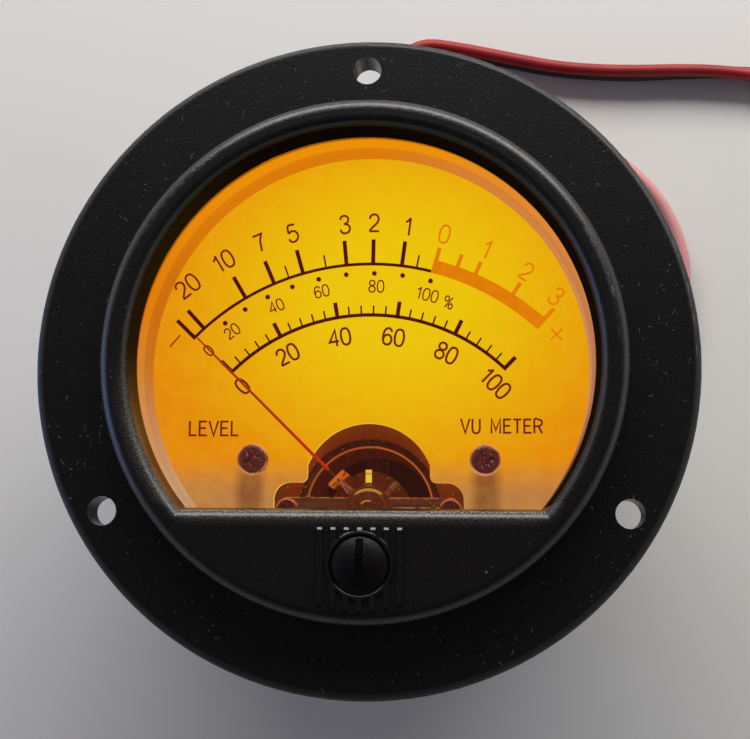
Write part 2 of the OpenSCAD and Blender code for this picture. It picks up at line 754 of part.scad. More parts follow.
module rear_case() {
    out_r = case_d / 2;
    in_r = out_r - case_wall;
    wall_h = flange_back_z + case_seat;
    groove_z = spigot_end_z + 1.6;
    color([0.08, 0.08, 0.09]) difference() {
        union() {
            difference() {
                cylinder(h = wall_h, r = out_r, $fn = 128);
                translate([0, 0, -1]) cylinder(h = rear_wall_z + 1, r = in_r, $fn = 128);
                translate([0, 0, rear_inside_z]) cylinder(h = wall_h, r = in_r, $fn = 128);
                translate([0, 0, groove_z]) rotate_extrude($fn = 128)
                    translate([spigot_d / 2 + 0.1, 0]) circle(0.45, $fn = 24);
            }
            for (s = [-1, 1]) translate([s * bridge_screw_r, pivot_y, rear_inside_z - eps])
                cylinder(h = (s > 0 ? pillar_top_z : yoke_back_z) - rear_inside_z + eps, d = pillar_d);
        }
        for (s = [-1, 1]) {
            translate([s * bridge_screw_r, pivot_y, pillar_top_z - 2.4]) cylinder(h = 6, d = screw_d);
            translate([s * stud_x, stud_y, 0]) cylinder(h = rear_inside_z + 1, d = stud_d + 0.1);
        }
        case_screw_places() cylinder(h = rear_inside_z + 1, d = screw_d + 0.3);
        translate([grommet_x, grommet_y, 0]) cylinder(h = rear_inside_z + 1, d = grommet_hole_d);
        rotate(notch_deg) translate([in_r - 2, -notch_w / 2, -1])
            cube([case_wall + 4, notch_w, notch_h + 1]);
    }
}

module case_screws() {
    color([0.7, 0.7, 0.72]) case_screw_places() {
        translate([0, 0, rear_wall_z]) mirror([0, 0, 1]) cross_head(case_head_d, case_head_h);
        translate([0, 0, rear_wall_z - eps]) cylinder(h = rear_wall + case_screw_bite, d = screw_d - 0.1);
    }
}

// ---- movement ----

module at_pivot(z) {
    translate([0, pivot_y, z]) children();
}

module yoke_ring() {
    bore = yoke_bore_d / 2;
    floor_z = yoke_len - yoke_step;
    color([0.55, 0.5, 0.46]) at_pivot(yoke_back_z) difference() {
        cylinder(h = yoke_len, d = yoke_d, $fn = 96);
        rotate_extrude($fn = 96) polygon([
            [0, -1], [bore, -1], [bore, floor_z - bore_chamfer], [bore + bore_chamfer, floor_z],
            [yoke_step_d / 2, floor_z], [yoke_step_d / 2, yoke_len + 1], [0, yoke_len + 1]
        ]);
        for (s = [-1, 1]) {
            translate([s * bridge_screw_r, 0, -1]) cylinder(h = yoke_len + 2, d = screw_d + 2 * screw_gap);
            translate([0, s * bridge_screw_r, -1]) cylinder(h = 5, d = screw_d - 2 * screw_gap);
        }
    }
}

module core_magnet() {
    color([0.4, 0.38, 0.37]) at_pivot(coil_mid_z - core_len / 2)
        cylinder(h = core_len, d = core_d, $fn = 96);
}

// Cast webs that hold the core in the yoke, on both sides of the coil's sweep
module core_webs() {
    web_h = core_len - 2;
    color([0.62, 0.6, 0.58]) at_pivot(coil_mid_z - web_h / 2) for (a = [0, 180])
        rotate_extrude(angle = 2 * web_half_deg, start = a - web_half_deg, $fn = 96)
            translate([core_d / 2, 0]) square([(yoke_bore_d - core_d) / 2, web_h]);
}

module bridge_outline() {
    strip([-bridge_screw_r, 0], [bridge_screw_r, 0], bridge_w);
    circle(2.3);
}

module front_bridge() {
    color([0.6, 0.45, 0.3]) at_pivot(front_bridge_z) difference() {
        union() {
            linear_extrude(height = bridge_t) bridge_outline();
            for (s = [-1, 1]) translate([s * bridge_screw_r, 0, -bridge_lift])
                cylinder(h = bridge_lift + eps, d = bridge_w);
        }
        translate([0, 0, -1]) cylinder(h = bridge_t + 2, d = jewel_screw_d);
        for (s = [-1, 1]) translate([s * bridge_screw_r, 0, -2])
            cylinder(h = 5, d = screw_d + 2 * screw_gap);
    }
}

module rear_bridge() {
    color([0.6, 0.45, 0.3]) at_pivot(rear_bridge_z) rotate(90) difference() {
        union() {
            linear_extrude(height = bridge_t) bridge_outline();
            for (s = [-1, 1]) translate([s * bridge_screw_r, 0, bridge_t - eps])
                cylinder(h = bridge_lift + eps, d = bridge_w);
        }
        translate([0, 0, -1]) cylinder(h = bridge_t + 2, d = jewel_screw_d);
        for (s = [-1, 1]) translate([s * bridge_screw_r, 0, -1])
            cylinder(h = 5, d = screw_d + 2 * screw_gap);
    }
}

module bridge_screws() {
    shank = bridge_face_z - pillar_top_z + 2.2;
    color([0.7, 0.68, 0.64]) at_pivot(bridge_face_z) for (s = [-1, 1]) translate([s * bridge_screw_r, 0]) {
        rotate(s * 35) slotted_head(bridge_head_d, bridge_head_h, 0.5);
        translate([0, 0, -shank]) cylinder(h = shank + eps, d = screw_d - 0.1);
    }
}

module rear_bridge_screws() {
    shank = bridge_t + bridge_lift + 2.5;
    color([0.7, 0.68, 0.64]) at_pivot(rear_bridge_z) for (s = [-1, 1]) translate([0, s * bridge_screw_r]) {
        mirror([0, 0, 1]) slotted_head(bridge_head_d, bridge_head_h, 0.5);
        translate([0, 0, -eps]) cylinder(h = shank, d = screw_d - 0.1);
    }
}

// Slotted grub screw with a seat for its jewel
module jewel_screw(len) {
    difference() {
        cylinder(h = len, d = jewel_screw_d);
        translate([0, 0, -1]) cylinder(h = jewel_depth + 1, d = jewel_d);
        translate([-jewel_screw_d, -0.2, len - 0.6]) cube([2 * jewel_screw_d, 0.4, 1]);
    }
}

module front_jewel_screw() {
    color([0.8, 0.65, 0.35]) at_pivot(jewel_screw_z) rotate(30) jewel_screw(jewel_screw_len);
}

module rear_jewel_screw() {
    color([0.8, 0.65, 0.35]) at_pivot(rear_jewel_screw_z + rear_jewel_screw_len) mirror([0, 0, 1])
        jewel_screw(rear_jewel_screw_len);
}

module jewel() {
    difference() {
        cylinder(h = jewel_depth, d = jewel_d);
        translate([0, 0, -1]) cylinder(h = jewel_depth - 0.2 + 1, d = pivot_d + 2 * pivot_gap, $fn = 32);
    }
}

module jewels() {
    color([0.75, 0.1, 0.25]) {
        at_pivot(jewel_screw_z) jewel();
        at_pivot(rear_jewel_screw_z + rear_jewel_screw_len) mirror([0, 0, 1]) jewel();
    }
}

module jewel_lock_nut() {
    color([0.9, 0.72, 0.3]) at_pivot(lock_nut_z) difference() {
        rotate_extrude() intersection() {
            round_disc_section(2.35, lock_nut_t, 0.25);
            square([3, lock_nut_t]);
        }
        translate([0, 0, -1]) cylinder(h = 3, d = jewel_screw_d);
    }
}

// Ring on the rear bridge with a lug for the rear hairspring's end
module rear_spring_anchor() {
    anchor_z = rear_bridge_z + bridge_t;
    lug_r = spring_out_r + hairspring_t / 2 + 0.02;
    color([0.85, 0.68, 0.3]) at_pivot(anchor_z) difference() {
        union() {
            cylinder(h = lever_t, r = 1.9);
            translate([-1.6 - lug_r, -0.4, 0]) cube([lug_r + 1.6, 0.8, lever_t]);
            translate([-lug_r - 0.4, -0.4, 0]) cube([0.4, 0.8, rear_spring_z - anchor_z + spring_h]);
        }
        translate([0, 0, -1]) cylinder(h = 3, d = jewel_screw_d);
    }
}

// ---- terminals ----

module stud_places() {
    for (s = [-1, 1]) translate([s * stud_x, stud_y, 0]) children();
}

module terminal_studs() {
    head_z = rear_inside_z + strap_t;
    color([0.85, 0.7, 0.35]) stud_places() {
        translate([0, 0, rim_free]) cylinder(h = head_z - rim_free + eps, d = stud_d);
        translate([0, 0, head_z]) cylinder(h = stud_head_h, d = stud_head_d, $fn = 6);
    }
}

module terminal_washers() {
    color([0.85, 0.7, 0.35]) stud_places() translate([0, 0, rear_wall_z - washer_t]) difference() {
        cylinder(h = washer_t, d = washer_d);
        translate([0, 0, -1]) cylinder(h = washer_t + 2, d = stud_d);
    }
}

module solder_lugs() {
    lug_z = rear_wall_z - washer_t - lug_t;
    color([0.8, 0.8, 0.78]) stud_places() translate([0, 0, lug_z]) linear_extrude(height = lug_t)
        difference() {
            union() {
                circle(d = lug_d);
                strip([0, 0], [0, lug_reach], lug_w);
            }
            circle(d = stud_d);
            translate([0, lug_reach - 0.2]) circle(lug_w * 0.27, $fn = 24);
        }
}

module terminal_nuts() {
    nut_z = rear_wall_z - washer_t - lug_t - nut_h;
    color([0.85, 0.7, 0.35]) stud_places() translate([0, 0, nut_z]) difference() {
        cylinder(h = nut_h, d = nut_d, $fn = 6);
        translate([0, 0, -1]) cylinder(h = nut_h + 2, d = stud_d);
    }
}

// Brass strip from the right-hand stud to the pillar under the yoke
module strap_plus() {
    eye = [stud_x, stud_y];
    foot = [bridge_screw_r, pivot_y];
    bend = [bridge_screw_r, pivot_y + 4.2];
    color([0.85, 0.68, 0.3]) {
        translate([0, 0, rear_inside_z]) linear_extrude(height = strap_t) difference() {
            union() {
                translate(eye) circle(3.2);
                strip(eye, bend, 2.4);
            }
            translate(eye) circle(d = stud_d);
        }
        translate([bend[0] - 1.2, bend[1] - 1.2, rear_inside_z])
            cube([2.4, strap_t, yoke_back_z - rear_inside_z]);
        translate([0, 0, yoke_back_z - strap_t]) linear_extrude(height = strap_t) difference() {
            union() {
                translate(foot) circle(pillar_d / 2);
                translate([foot[0] - 1.2, foot[1]]) square([2.4, bend[1] - 1.2 - foot[1] + strap_t]);
            }
            translate(foot) circle(d = screw_d + 2 * screw_gap);
        }
    }
}

// Brass strip from the left-hand stud to the rear hairspring's lug
module strap_minus() {
    eye = [-stud_x, stud_y];
    bend = [-6.4, pivot_y];
    lug_z = rear_bridge_z + bridge_t;
    color([0.85, 0.68, 0.3]) {
        translate([0, 0, rear_inside_z]) linear_extrude(height = strap_t) difference() {
            union() {
                translate(eye) circle(3.2);
                strip(eye, bend, 2.4);
            }
            translate(eye) circle(d = stud_d);
        }
        translate([bend[0] - 0.2, bend[1] - 0.6, rear_inside_z]) cube([strap_t, 1.2, lug_z - rear_inside_z]);
        translate([bend[0] - 0.2, bend[1] - 0.4, lug_z - strap_t]) cube([2.8, 0.8, strap_t]);
    }
}

// ---- lead ----

module lead_grommet() {
    color([0.05, 0.05, 0.05]) translate([grommet_x, grommet_y, 0]) difference() {
        union() {
            translate([0, 0, rear_wall_z]) cylinder(h = rear_wall, d = grommet_hole_d);
            translate([0, 0, rear_wall_z - 0.7]) cylinder(h = 0.7, d = grommet_hole_d + 1.6);
            translate([0, 0, rear_inside_z]) cylinder(h = 0.7, d = grommet_hole_d + 1.6);
        }
        translate([0, 0, rear_wall_z - 2]) cylinder(h = rear_wall + 4, d = bundle_d);
    }
}

// Offset of one wire from the pair's middle, for a heading and a lay
function wire_offset(heading, lay) = (wire_d + wire_gap) / 2
    * [-cos(lay) * sin(heading), cos(lay) * cos(heading), sin(lay)];

function lead_heading(i) =
    let (d = lead_route[min(i + 1, len(lead_route) - 1)] - lead_route[max(i - 1, 0)])
    norm([d[0], d[1]]) < 0.3 ? lead_start_deg : atan2(d[1], d[0]);

function lead_point(i, side) = let (p = lead_route[i])
    [p[0], p[1], p[2]] + side * wire_offset(lead_heading(i), p[3]);

module lead_wire(side) {
    route_tube([for (i = [0:len(lead_route) - 1]) lead_point(i, side)], wire_d / 2);
}

module lead_red() {
    color([0.72, 0.05, 0.08]) lead_wire(1);
}

module lead_black() {
    color([0.05, 0.05, 0.06]) lead_wire(-1);
}

module bare_ends() {
    last = len(lead_route) - 1;
    color([0.8, 0.8, 0.8]) for (side = [-1, 1]) translate(lead_point(last, side))
        rotate([0, 90, lead_heading(last)]) cylinder(h = bare_len, d = bare_d, $fn = 24);
}

// ---- zero adjustment ----

module zero_adjuster() {
    cap_r = cap_d / 2;
    cap_bottom = rim_z - cap_seat + 0.1;
    cap_h = cap_seat + cap_rise - 0.1;
    dome_r = (cap_r * cap_r + cap_rise * cap_rise) / (2 * cap_rise);
    shaft_end = lever_top_z + 0.4;
    color([0.06, 0.06, 0.07]) translate([0, adjuster_y, 0]) {
        difference() {
            translate([0, 0, cap_bottom]) intersection() {
                cylinder(h = cap_h, r = cap_r);
                translate([0, 0, cap_h - dome_r]) sphere(dome_r, $fn = 96);
            }
            translate([-slot_w / 2, -cap_d, rim_z + cap_rise - slot_depth]) cube([slot_w, 2 * cap_d, 2]);
        }
        difference() {
            translate([0, 0, shaft_end]) cylinder(h = cap_bottom - shaft_end + eps, d = adjuster_shaft_d);
            translate([0, 0, clip_z]) difference() {
                cylinder(h = clip_t, d = 2 * adjuster_shaft_d);
                cylinder(h = clip_t, r = adjuster_shaft_d / 2 - groove_depth);
            }
        }
        translate([0, eccentric, lever_z - 0.6])
            cylinder(h = shaft_end - lever_z + 0.6 + eps, d = eccentric_d);
    }
}

// Spring clip in the shaft's groove, behind the face
module adjuster_clip() {
    color([0.6, 0.6, 0.62]) translate([0, adjuster_y, clip_z]) linear_extrude(height = clip_t) difference() {
        circle(2.9);
        circle(adjuster_shaft_d / 2 - groove_depth);
        rotate(-90) translate([0, -0.9]) square([4, 1.8]);
    }
}

// Ring round the jewel screw, with the front hairspring's anchor above and the adjuster's fork below
module zero_lever() {
    ring_r = 2.95;
    fork_w = 2.6;
    pin_r = fork_reach - eccentric;
    slot_half = eccentric_d / 2 + adjuster_gap;
    anchor_r = spring_out_r + hairspring_t / 2 + 0.02;
    color([0.9, 0.7, 0.3]) at_pivot(lever_z) {
        linear_extrude(height = lever_t) difference() {
            union() {
                circle(ring_r);
                translate([-0.38, 0]) square([0.76, tab_r - 0.35]);
                strip([0, 0], [0, -pin_r - 0.4], fork_w);
            }
            circle(jewel_screw_d / 2 + pivot_gap);
            strip([0, -pin_r + 0.3], [0, -pin_r - 3], 2 * slot_half);
        }
        translate([-0.38, anchor_r, front_spring_z - lever_z])
            cube([0.76, 0.3, lever_z - front_spring_z + eps]);
    }
}

// ---- moving coil and pointer ----

module pointer_frame(z) {
    at_pivot(z) rotate(rest_deg) children();
}

// Tapering tube on a thin neck that forks at its root
module pointer() {
    split_r = tab_r + 1.5;
    leg_turn = atan2(pointer_fork_w / 2, pointer_fork_r - pointer_root_r);
    leg_len = (pointer_fork_r - pointer_root_r) / cos(leg_turn);
    color([0.85, 0.12, 0.05]) pointer_frame(pointer_z) {
        rotate([0, 90, 0]) {
            translate([0, 0, pointer_fork_r])
                cylinder(h = split_r - pointer_fork_r + eps, d = pointer_neck_d, $fn = 24);
            translate([0, 0, split_r])
                cylinder(h = pointer_len - split_r, d1 = pointer_d, d2 = pointer_tip_d, $fn = 24);
        }
        for (s = [-1, 1]) translate([pointer_fork_r + pointer_neck_d / 3, 0, 0]) rotate(180 + s * leg_turn)
            rotate([0, 90, 0]) cylinder(h = leg_len, d = pointer_leg_d, $fn = 16);
    }
}

// Cross of arms on the coil, with the upright tab that carries the pointer
module pointer_carrier() {
    tail_r = 5;
    color([0.85, 0.45, 0.2]) pointer_frame(arm_z) {
        linear_extrude(height = arm_t) difference() {
            union() {
                circle(1.3);
                translate([0, -0.45]) square([tab_r + 0.2, 0.9]);
                translate([-tail_r, -0.3]) square([tail_r, 0.6]);
                translate([-0.3, -tail_r]) square([0.6, 2 * tail_r]);
                translate([tab_r - 0.2, -tab_w / 2]) square([0.4, tab_w]);
            }
            circle(d = pivot_d);
        }
        difference() {
            translate([tab_r - 0.2, -tab_w / 2, 0]) cube([0.4, tab_w, pointer_z - arm_z + 0.3]);
            translate([0, 0, pointer_z - arm_z]) rotate([0, 90, 0])
                cylinder(h = 10, d = pointer_neck_d, $fn = 24);
        }
    }
}

// Small coils of wire on three of the arms
module balance_weights() {
    color([0.75, 0.75, 0.72]) pointer_frame(arm_z + arm_t / 2) for (a = [90, 180, 270])
        rotate(a) rotate([0, 90, 0]) difference() {
            translate([0, 0, 3.8]) cylinder(h = 1, r = 0.42, $fn = 32);
            translate([-arm_t / 2, -0.3, 3]) cube([arm_t, 0.6, 3]);
        }
}

// Rectangular ring around the core, in the pointer's plane, w wide
module coil_ring(half_len, half_h, t, w) {
    rotate([90, 0, 0]) linear_extrude(height = w, center = true) difference() {
        square([2 * half_len, 2 * half_h], center = true);
        square([2 * (half_len - t), 2 * (half_h - t)], center = true);
    }
}

module coil_former() {
    color([0.8, 0.8, 0.82]) pointer_frame(coil_mid_z)
        coil_ring(coil_r - winding_t, coil_half - winding_t, former_t, coil_w);
}

module coil_winding() {
    color([0.72, 0.35, 0.15]) pointer_frame(coil_mid_z)
        coil_ring(coil_r, coil_half, winding_t, coil_w - 0.3);
}

module pivots() {
    front_tip = jewel_screw_z + jewel_depth - 0.3;
    rear_tip = rear_jewel_screw_z + rear_jewel_screw_len - jewel_depth + 0.3;
    color([0.7, 0.7, 0.72]) {
        at_pivot(coil_front_z) cylinder(h = front_tip - coil_front_z, d = pivot_d, $fn = 32);
        at_pivot(coil_front_z) cylinder(h = arm_z - coil_front_z, r = 1);
        at_pivot(rear_tip) cylinder(h = coil_back_z - rear_tip, d = pivot_d, $fn = 32);
        at_pivot(coil_back_z - 0.4) cylinder(h = 0.4, r = 1);
    }
}

module hairspring_body(z, end_deg) {
    at_pivot(z) rotate(end_deg) {
        spiral(hairspring_turns, spring_in_r, spring_out_r, hairspring_t, spring_h);
        difference() {
            cylinder(h = spring_h, r = spring_in_r + hairspring_t / 2);
            translate([0, 0, -1]) cylinder(h = 3, d = pivot_d);
        }
    }
}

module front_hairspring() {
    color([0.7, 0.55, 0.3]) hairspring_body(front_spring_z, 90);
}

module rear_hairspring() {
    color([0.7, 0.55, 0.3]) hairspring_body(rear_spring_z, 180);
}

front_bezel();
window_lens();
light_frame();
dial_plate();
scale_marks();
red_zone();
dial_screws();
light_box();
lamp_board();
lamps();
lamp_resistor();
lamp_wires();
rear_case();
case_screws();
yoke_ring();
core_magnet();
core_webs();
front_bridge();
rear_bridge();
bridge_screws();
rear_bridge_screws();
front_jewel_screw();
rear_jewel_screw();
jewels();
jewel_lock_nut();
rear_spring_anchor();
terminal_studs();
terminal_nuts();
terminal_washers();
solder_lugs();
strap_plus();
strap_minus();
adjuster_clip();
lead_grommet();
lead_red();
lead_black();
bare_ends();
zero_adjuster();
zero_lever();
pointer();
pointer_carrier();
balance_weights();
coil_former();
coil_winding();
pivots();
front_hairspring();
rear_hairspring();
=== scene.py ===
"""Looks of a round, back-lit panel meter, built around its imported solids. Lengths are in metres."""

import math
import random

import bmesh
import bpy
from bpy.props import FloatProperty, FloatVectorProperty, IntProperty, PointerProperty
from mathutils import Matrix, Vector


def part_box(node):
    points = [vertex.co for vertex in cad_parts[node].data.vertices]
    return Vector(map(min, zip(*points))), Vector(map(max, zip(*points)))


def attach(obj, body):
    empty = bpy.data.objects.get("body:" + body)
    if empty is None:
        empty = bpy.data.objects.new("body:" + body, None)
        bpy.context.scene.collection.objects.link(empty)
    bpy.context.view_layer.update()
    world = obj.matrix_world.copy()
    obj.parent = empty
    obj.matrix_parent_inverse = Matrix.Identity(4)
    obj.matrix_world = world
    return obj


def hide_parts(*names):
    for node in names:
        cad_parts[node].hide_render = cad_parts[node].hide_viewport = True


bl_info = {
    "name": "Back-lit Panel Meter",
    "version": (1, 0, 0),
    "blender": (4, 5, 0),
    "location": "View3D > Sidebar > Panel Meter",
    "description": "Dresses a round moving-coil panel meter with its finishes, numerals, lead and light",
    "category": "Object",
}

MM = 0.001

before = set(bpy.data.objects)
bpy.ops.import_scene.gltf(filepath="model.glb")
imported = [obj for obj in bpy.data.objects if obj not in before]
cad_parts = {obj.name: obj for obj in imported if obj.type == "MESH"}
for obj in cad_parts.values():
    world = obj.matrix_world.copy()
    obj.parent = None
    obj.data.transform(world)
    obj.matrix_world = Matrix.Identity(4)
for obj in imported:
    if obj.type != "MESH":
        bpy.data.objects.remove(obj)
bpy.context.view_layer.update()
PIVOT = Vector((0.0, -17.35 * MM, 0.0))
DIAL_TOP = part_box("dial_plate")[1].z
LIGHT_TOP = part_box("light_frame")[1].z
YOKE_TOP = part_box("yoke_ring")[1].z
DIAL_SCREW_Y = (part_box("dial_screws")[0].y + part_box("dial_screws")[1].y) / 2
DIAL_SCREW_X = 14.5 * MM
PRINT_THICKNESS = 0.07 * MM
BRIDGE_SCREW_R = (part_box("bridge_screws")[1].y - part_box("bridge_screws")[0].y) / 2
BRIDGE_SCREW_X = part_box("bridge_screws")[1].x - BRIDGE_SCREW_R
ADJUSTER_Y = (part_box("zero_adjuster")[0].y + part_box("zero_adjuster")[1].y) / 2

# The bezel: height of its front face and of its flange, straight edge of the window, grip ribs
FACE_TOP = 45.0 * MM
FLANGE_TOP = 40.0 * MM
CHORD_Y = -17.65 * MM
RIB_PITCH = 1.53 * MM
RIB_TOP = -20.0 * MM

# Route of the lead's middle: x, y, height in millimetres, and lay of the pair in degrees
LEAD_ROUTE = (
    (20, -12, 6.5, 0), (20, -12, 5.8, 0), (20.2, -11.9, 4.3, 0), (20.8, -11.6, 2.9, 0),
    (21.8, -11.1, 1.85, 0), (23, -10.5, 1.15, 0), (24.4, -9.8, 0.95, 0), (27.8, -8.1, 1.3, 20),
    (31.2, -6.1, 1.5, 35),
    (34.6, -3.6, 1.7, 55), (37.6, -0.6, 1.85, 75), (40, 3, 1.85, 90), (41.8, 7, 1.85, 90),
    (43, 11.2, 1.85, 90), (43.6, 15.6, 1.85, 90), (43.6, 20, 1.85, 90), (42.6, 24.2, 1.85, 90),
    (40.8, 28.2, 1.85, 90), (38.2, 31.7, 1.85, 90), (34.8, 34.8, 1.85, 90), (31, 37.4, 1.85, 90),
    (26.6, 39.8, 1.85, 90), (22, 41.8, 1.85, 90), (17, 43.4, 1.85, 90), (11.6, 44.8, 1.85, 90),
    (6.4, 45.6, 1.85, 90), (3.7, 46.7, 1.85, 90), (2.6, 49.4, 1.85, 90), (3.7, 52.1, 1.85, 90),
    (6.4, 53.2, 1.85, 90), (10.6, 52.7, 1.85, 90), (15, 51.8, 1.85, 90), (20, 50.7, 1.85, 90),
    (25.6, 49.6, 1.85, 90), (31.6, 49, 1.85, 90), (37.6, 48.8, 1.85, 90), (43.6, 48.9, 1.85, 95),
    (49.4, 48.8, 1.85, 105), (55, 48.3, 1.75, 120), (60.4, 47.2, 1.55, 140), (65.6, 45.2, 1.3, 160),
    (70.2, 42.2, 0.95, 180), (74, 38.4, 0.95, 180), (77, 34, 0.95, 180),
)
LEAD_START_DEG = 26.5
WIRE_D = 1.8
WIRE_GAP = 0.04

# The camera's right and up directions before its roll, and its place
CAMERA_RIGHT = Vector((0.997949, 0.016343, -0.061891))
CAMERA_UP = Vector((-0.007648, 0.990375, 0.138200))
CAMERA_PLACE = Vector((12.289, -24.865, 211.336)) * MM

# Point that both lights face
LIGHT_AIM = Vector((0.0, 0.0, 0.03))

# Depth of the faint relief on smooth metal, plastic and insulation
FINE_RELIEF = 0.01 * MM


# ---- shader arithmetic ----


class Wire:
    """A number or colour socket that takes part in Python arithmetic."""

    def __init__(self, paint, socket):
        self.paint = paint
        self.socket = socket

    def _calc(self, kind, *values):
        return self.paint.add("ShaderNodeMath", {"operation": kind}, dict(enumerate(values)))

    def __add__(self, other):
        return self._calc("ADD", self, other)

    def __sub__(self, other):
        return self._calc("SUBTRACT", self, other)

    def __rsub__(self, other):
        return self._calc("SUBTRACT", other, self)

    def __mul__(self, other):
        return self._calc("MULTIPLY", self, other)

    def __truediv__(self, other):
        return self._calc("DIVIDE", self, other)

    def __pow__(self, other):
        return self._calc("POWER", self, other)

    __radd__ = __add__
    __rmul__ = __mul__

    def most(self, other):
        return self._calc("MAXIMUM", self, other)

    def size(self):
        return self._calc("ABSOLUTE", self)

    def beside(self, pitch):
        """Distance to the nearest whole multiple of the pitch."""
        return self._calc("PINGPONG", self, pitch / 2)

    def band(self, low, high, edge):
        """1 from low to high and 0 outside, with edges of the given width."""
        return self.rise(low - edge, low) * self.rise(high + edge, high)

    def rise(self, low, high):
        """0 below low, 1 above high, smooth between; low may be the larger."""
        return self.paint.add(
            "ShaderNodeMapRange", {"interpolation_type": "SMOOTHSTEP", "clamp": True},
            {"Value": self, "From Min": low, "From Max": high}
        )


class Paint:
    """Builds one procedural material around a Principled shader."""

    def __init__(self, name):
        self.material = bpy.data.materials.new(name)
        self.material.use_nodes = True
        self.tree = self.material.node_tree
        self.tree.nodes.clear()
        self.shader = self.tree.nodes.new("ShaderNodeBsdfPrincipled")
        self.output = self.tree.nodes.new("ShaderNodeOutputMaterial")
        self.tree.links.new(self.shader.outputs[0], self.output.inputs["Surface"])

    def plug(self, socket, value):
        """Links a wire to a socket, or sets the socket's own value."""
        if isinstance(value, Wire):
            self.tree.links.new(value.socket, socket)
        elif isinstance(value, (tuple, list)) and len(value) == 3 and len(socket.default_value) == 4:
            socket.default_value = (*value, 1.0)
        else:
            socket.default_value = value

    def add(self, kind, settings=None, inputs=None, output=0):
        """Any node: its settings first, then the values or links of its sockets."""
        node = self.tree.nodes.new(kind)
        for key, value in (settings or {}).items():
            if key == "stops":
                ramp = node.color_ramp
                while len(ramp.elements) < len(value):
                    ramp.elements.new(0.5)
                for stop, (place, colour) in zip(ramp.elements, value):
                    stop.position = place
                    stop.color = (*colour, 1.0)
            else:
                setattr(node, key, value)
        for key, value in (inputs or {}).items():
            self.plug(node.inputs[key], value)
        return Wire(self, node.outputs[output])

    def place(self):
        """Object coordinates in metres."""
        return self.add("ShaderNodeTexCoord", output="Object")

    def axes(self, vector):
        """The three parts of a vector."""
        node = self.tree.nodes.new("ShaderNodeSeparateXYZ")
        self.plug(node.inputs[0], vector)
        return [Wire(self, node.outputs[i]) for i in range(3)]

    def about(self, x, y):
        """Distance from an upright axis, with the steps from it in x and y, and the height."""
        place_x, place_y, height = self.axes(self.place())
        step_x, step_y = place_x - x, place_y - y
        return (step_x * step_x + step_y * step_y) ** 0.5, step_x, step_y, height

    def matt(self, mask, colour):
        """A second, gloss-free shader where the mask is 1."""
        flat = self.tree.nodes.new("ShaderNodeBsdfPrincipled")
        flat.inputs["Base Color"].default_value = (*colour, 1.0)
        flat.inputs["Roughness"].default_value = 1.0
        flat.inputs["Specular IOR Level"].default_value = 0.0
        mix = self.tree.nodes.new("ShaderNodeMixShader")
        self.plug(mix.inputs[0], mask)
        self.tree.links.new(self.shader.outputs[0], mix.inputs[1])
        self.tree.links.new(flat.outputs[0], mix.inputs[2])
        self.tree.links.new(mix.outputs[0], self.output.inputs["Surface"])

    def noise(self, scale, detail=2.0, rough=0.5, at=None):
        return self.add(
            "ShaderNodeTexNoise", None,
            {"Vector": at or self.place(), "Scale": scale, "Detail": detail, "Roughness": rough}, "Fac"
        )

    def cells(self, scale):
        """Distance to the nearest of the points scattered in space."""
        return self.add("ShaderNodeTexVoronoi", None, {"Vector": self.place(), "Scale": scale}, "Distance")

    def blend(self, mask, first, second):
        """The first colour where the mask is 0, the second where it is 1."""
        return self.add("ShaderNodeMix", {"data_type": "RGBA"}, {0: mask, 6: first, 7: second}, 2)

    def ramp(self, value, *stops):
        return self.add("ShaderNodeValToRGB", {"stops": stops}, {"Fac": value}, "Color")

    def bump(self, height, depth, strength):
        return self.add(
            "ShaderNodeBump", None, {"Height": height, "Distance": depth, "Strength": strength}, "Normal"
        )

    def set(self, **values):
        """Sets or links the shader's sockets by name, in lower case with underscores."""
        for key, value in values.items():
            self.plug(self.shader.inputs[key.replace("_", " ").title().replace("Ior", "IOR")], value)


def srgb(red, green, blue):
    """A screen colour of 0 to 255 as linear light."""
    return tuple(
        ((v / 255 + 0.055) / 1.055) ** 2.4 if v > 10 else v / 255 / 12.92 for v in (red, green, blue)
    )


# ---- finishes ----


def grained_black(name, painted_light=None, rough=0.24, gloss=0.68, dusty=True):
    """Moulded black plastic with a fine eroded grain that sparkles, and settled dust, with painted light
    added where a function for it is given.
    """
    p = Paint(name)
    grain = p.noise(3000.0, 3.0, 0.7)
    coarse = p.noise(1300.0, 2.0, 0.5)
    relief = grain * 0.75 + coarse * 0.25
    tone = p.blend(grain.rise(0.3, 0.75), (0.0034, 0.0026, 0.0030), (0.0060, 0.0048, 0.0054))
    if dusty:
        patch = p.noise(55.0, 2.0, 0.5).rise(0.46, 0.62)
        motes = p.cells(900.0).rise(0.17, 0.06) * p.noise(210.0, 1.0, 0.5).rise(0.56, 0.64)
        specks = p.cells(380.0).rise(0.075, 0.035) * p.noise(90.0, 2.0, 0.5).rise(0.52, 0.6)
        tone = p.blend((motes * 0.5 + specks * 0.7) * patch, tone, (0.2, 0.19, 0.18))
    # Painted light from the function given: highlights on the bezel, a glowing pool in the case.
    if painted_light:
        tone = painted_light(p, tone)
    edge = p.about(0.0, 0.0)[0].rise(39.0 * MM, 39.4 * MM) * 0.25
    p.set(
        base_color=tone, roughness=rough + relief * 0.14 + edge, specular_ior_level=gloss,
        normal=p.bump(relief, 0.06 * MM, 0.8)
    )
    return p.material


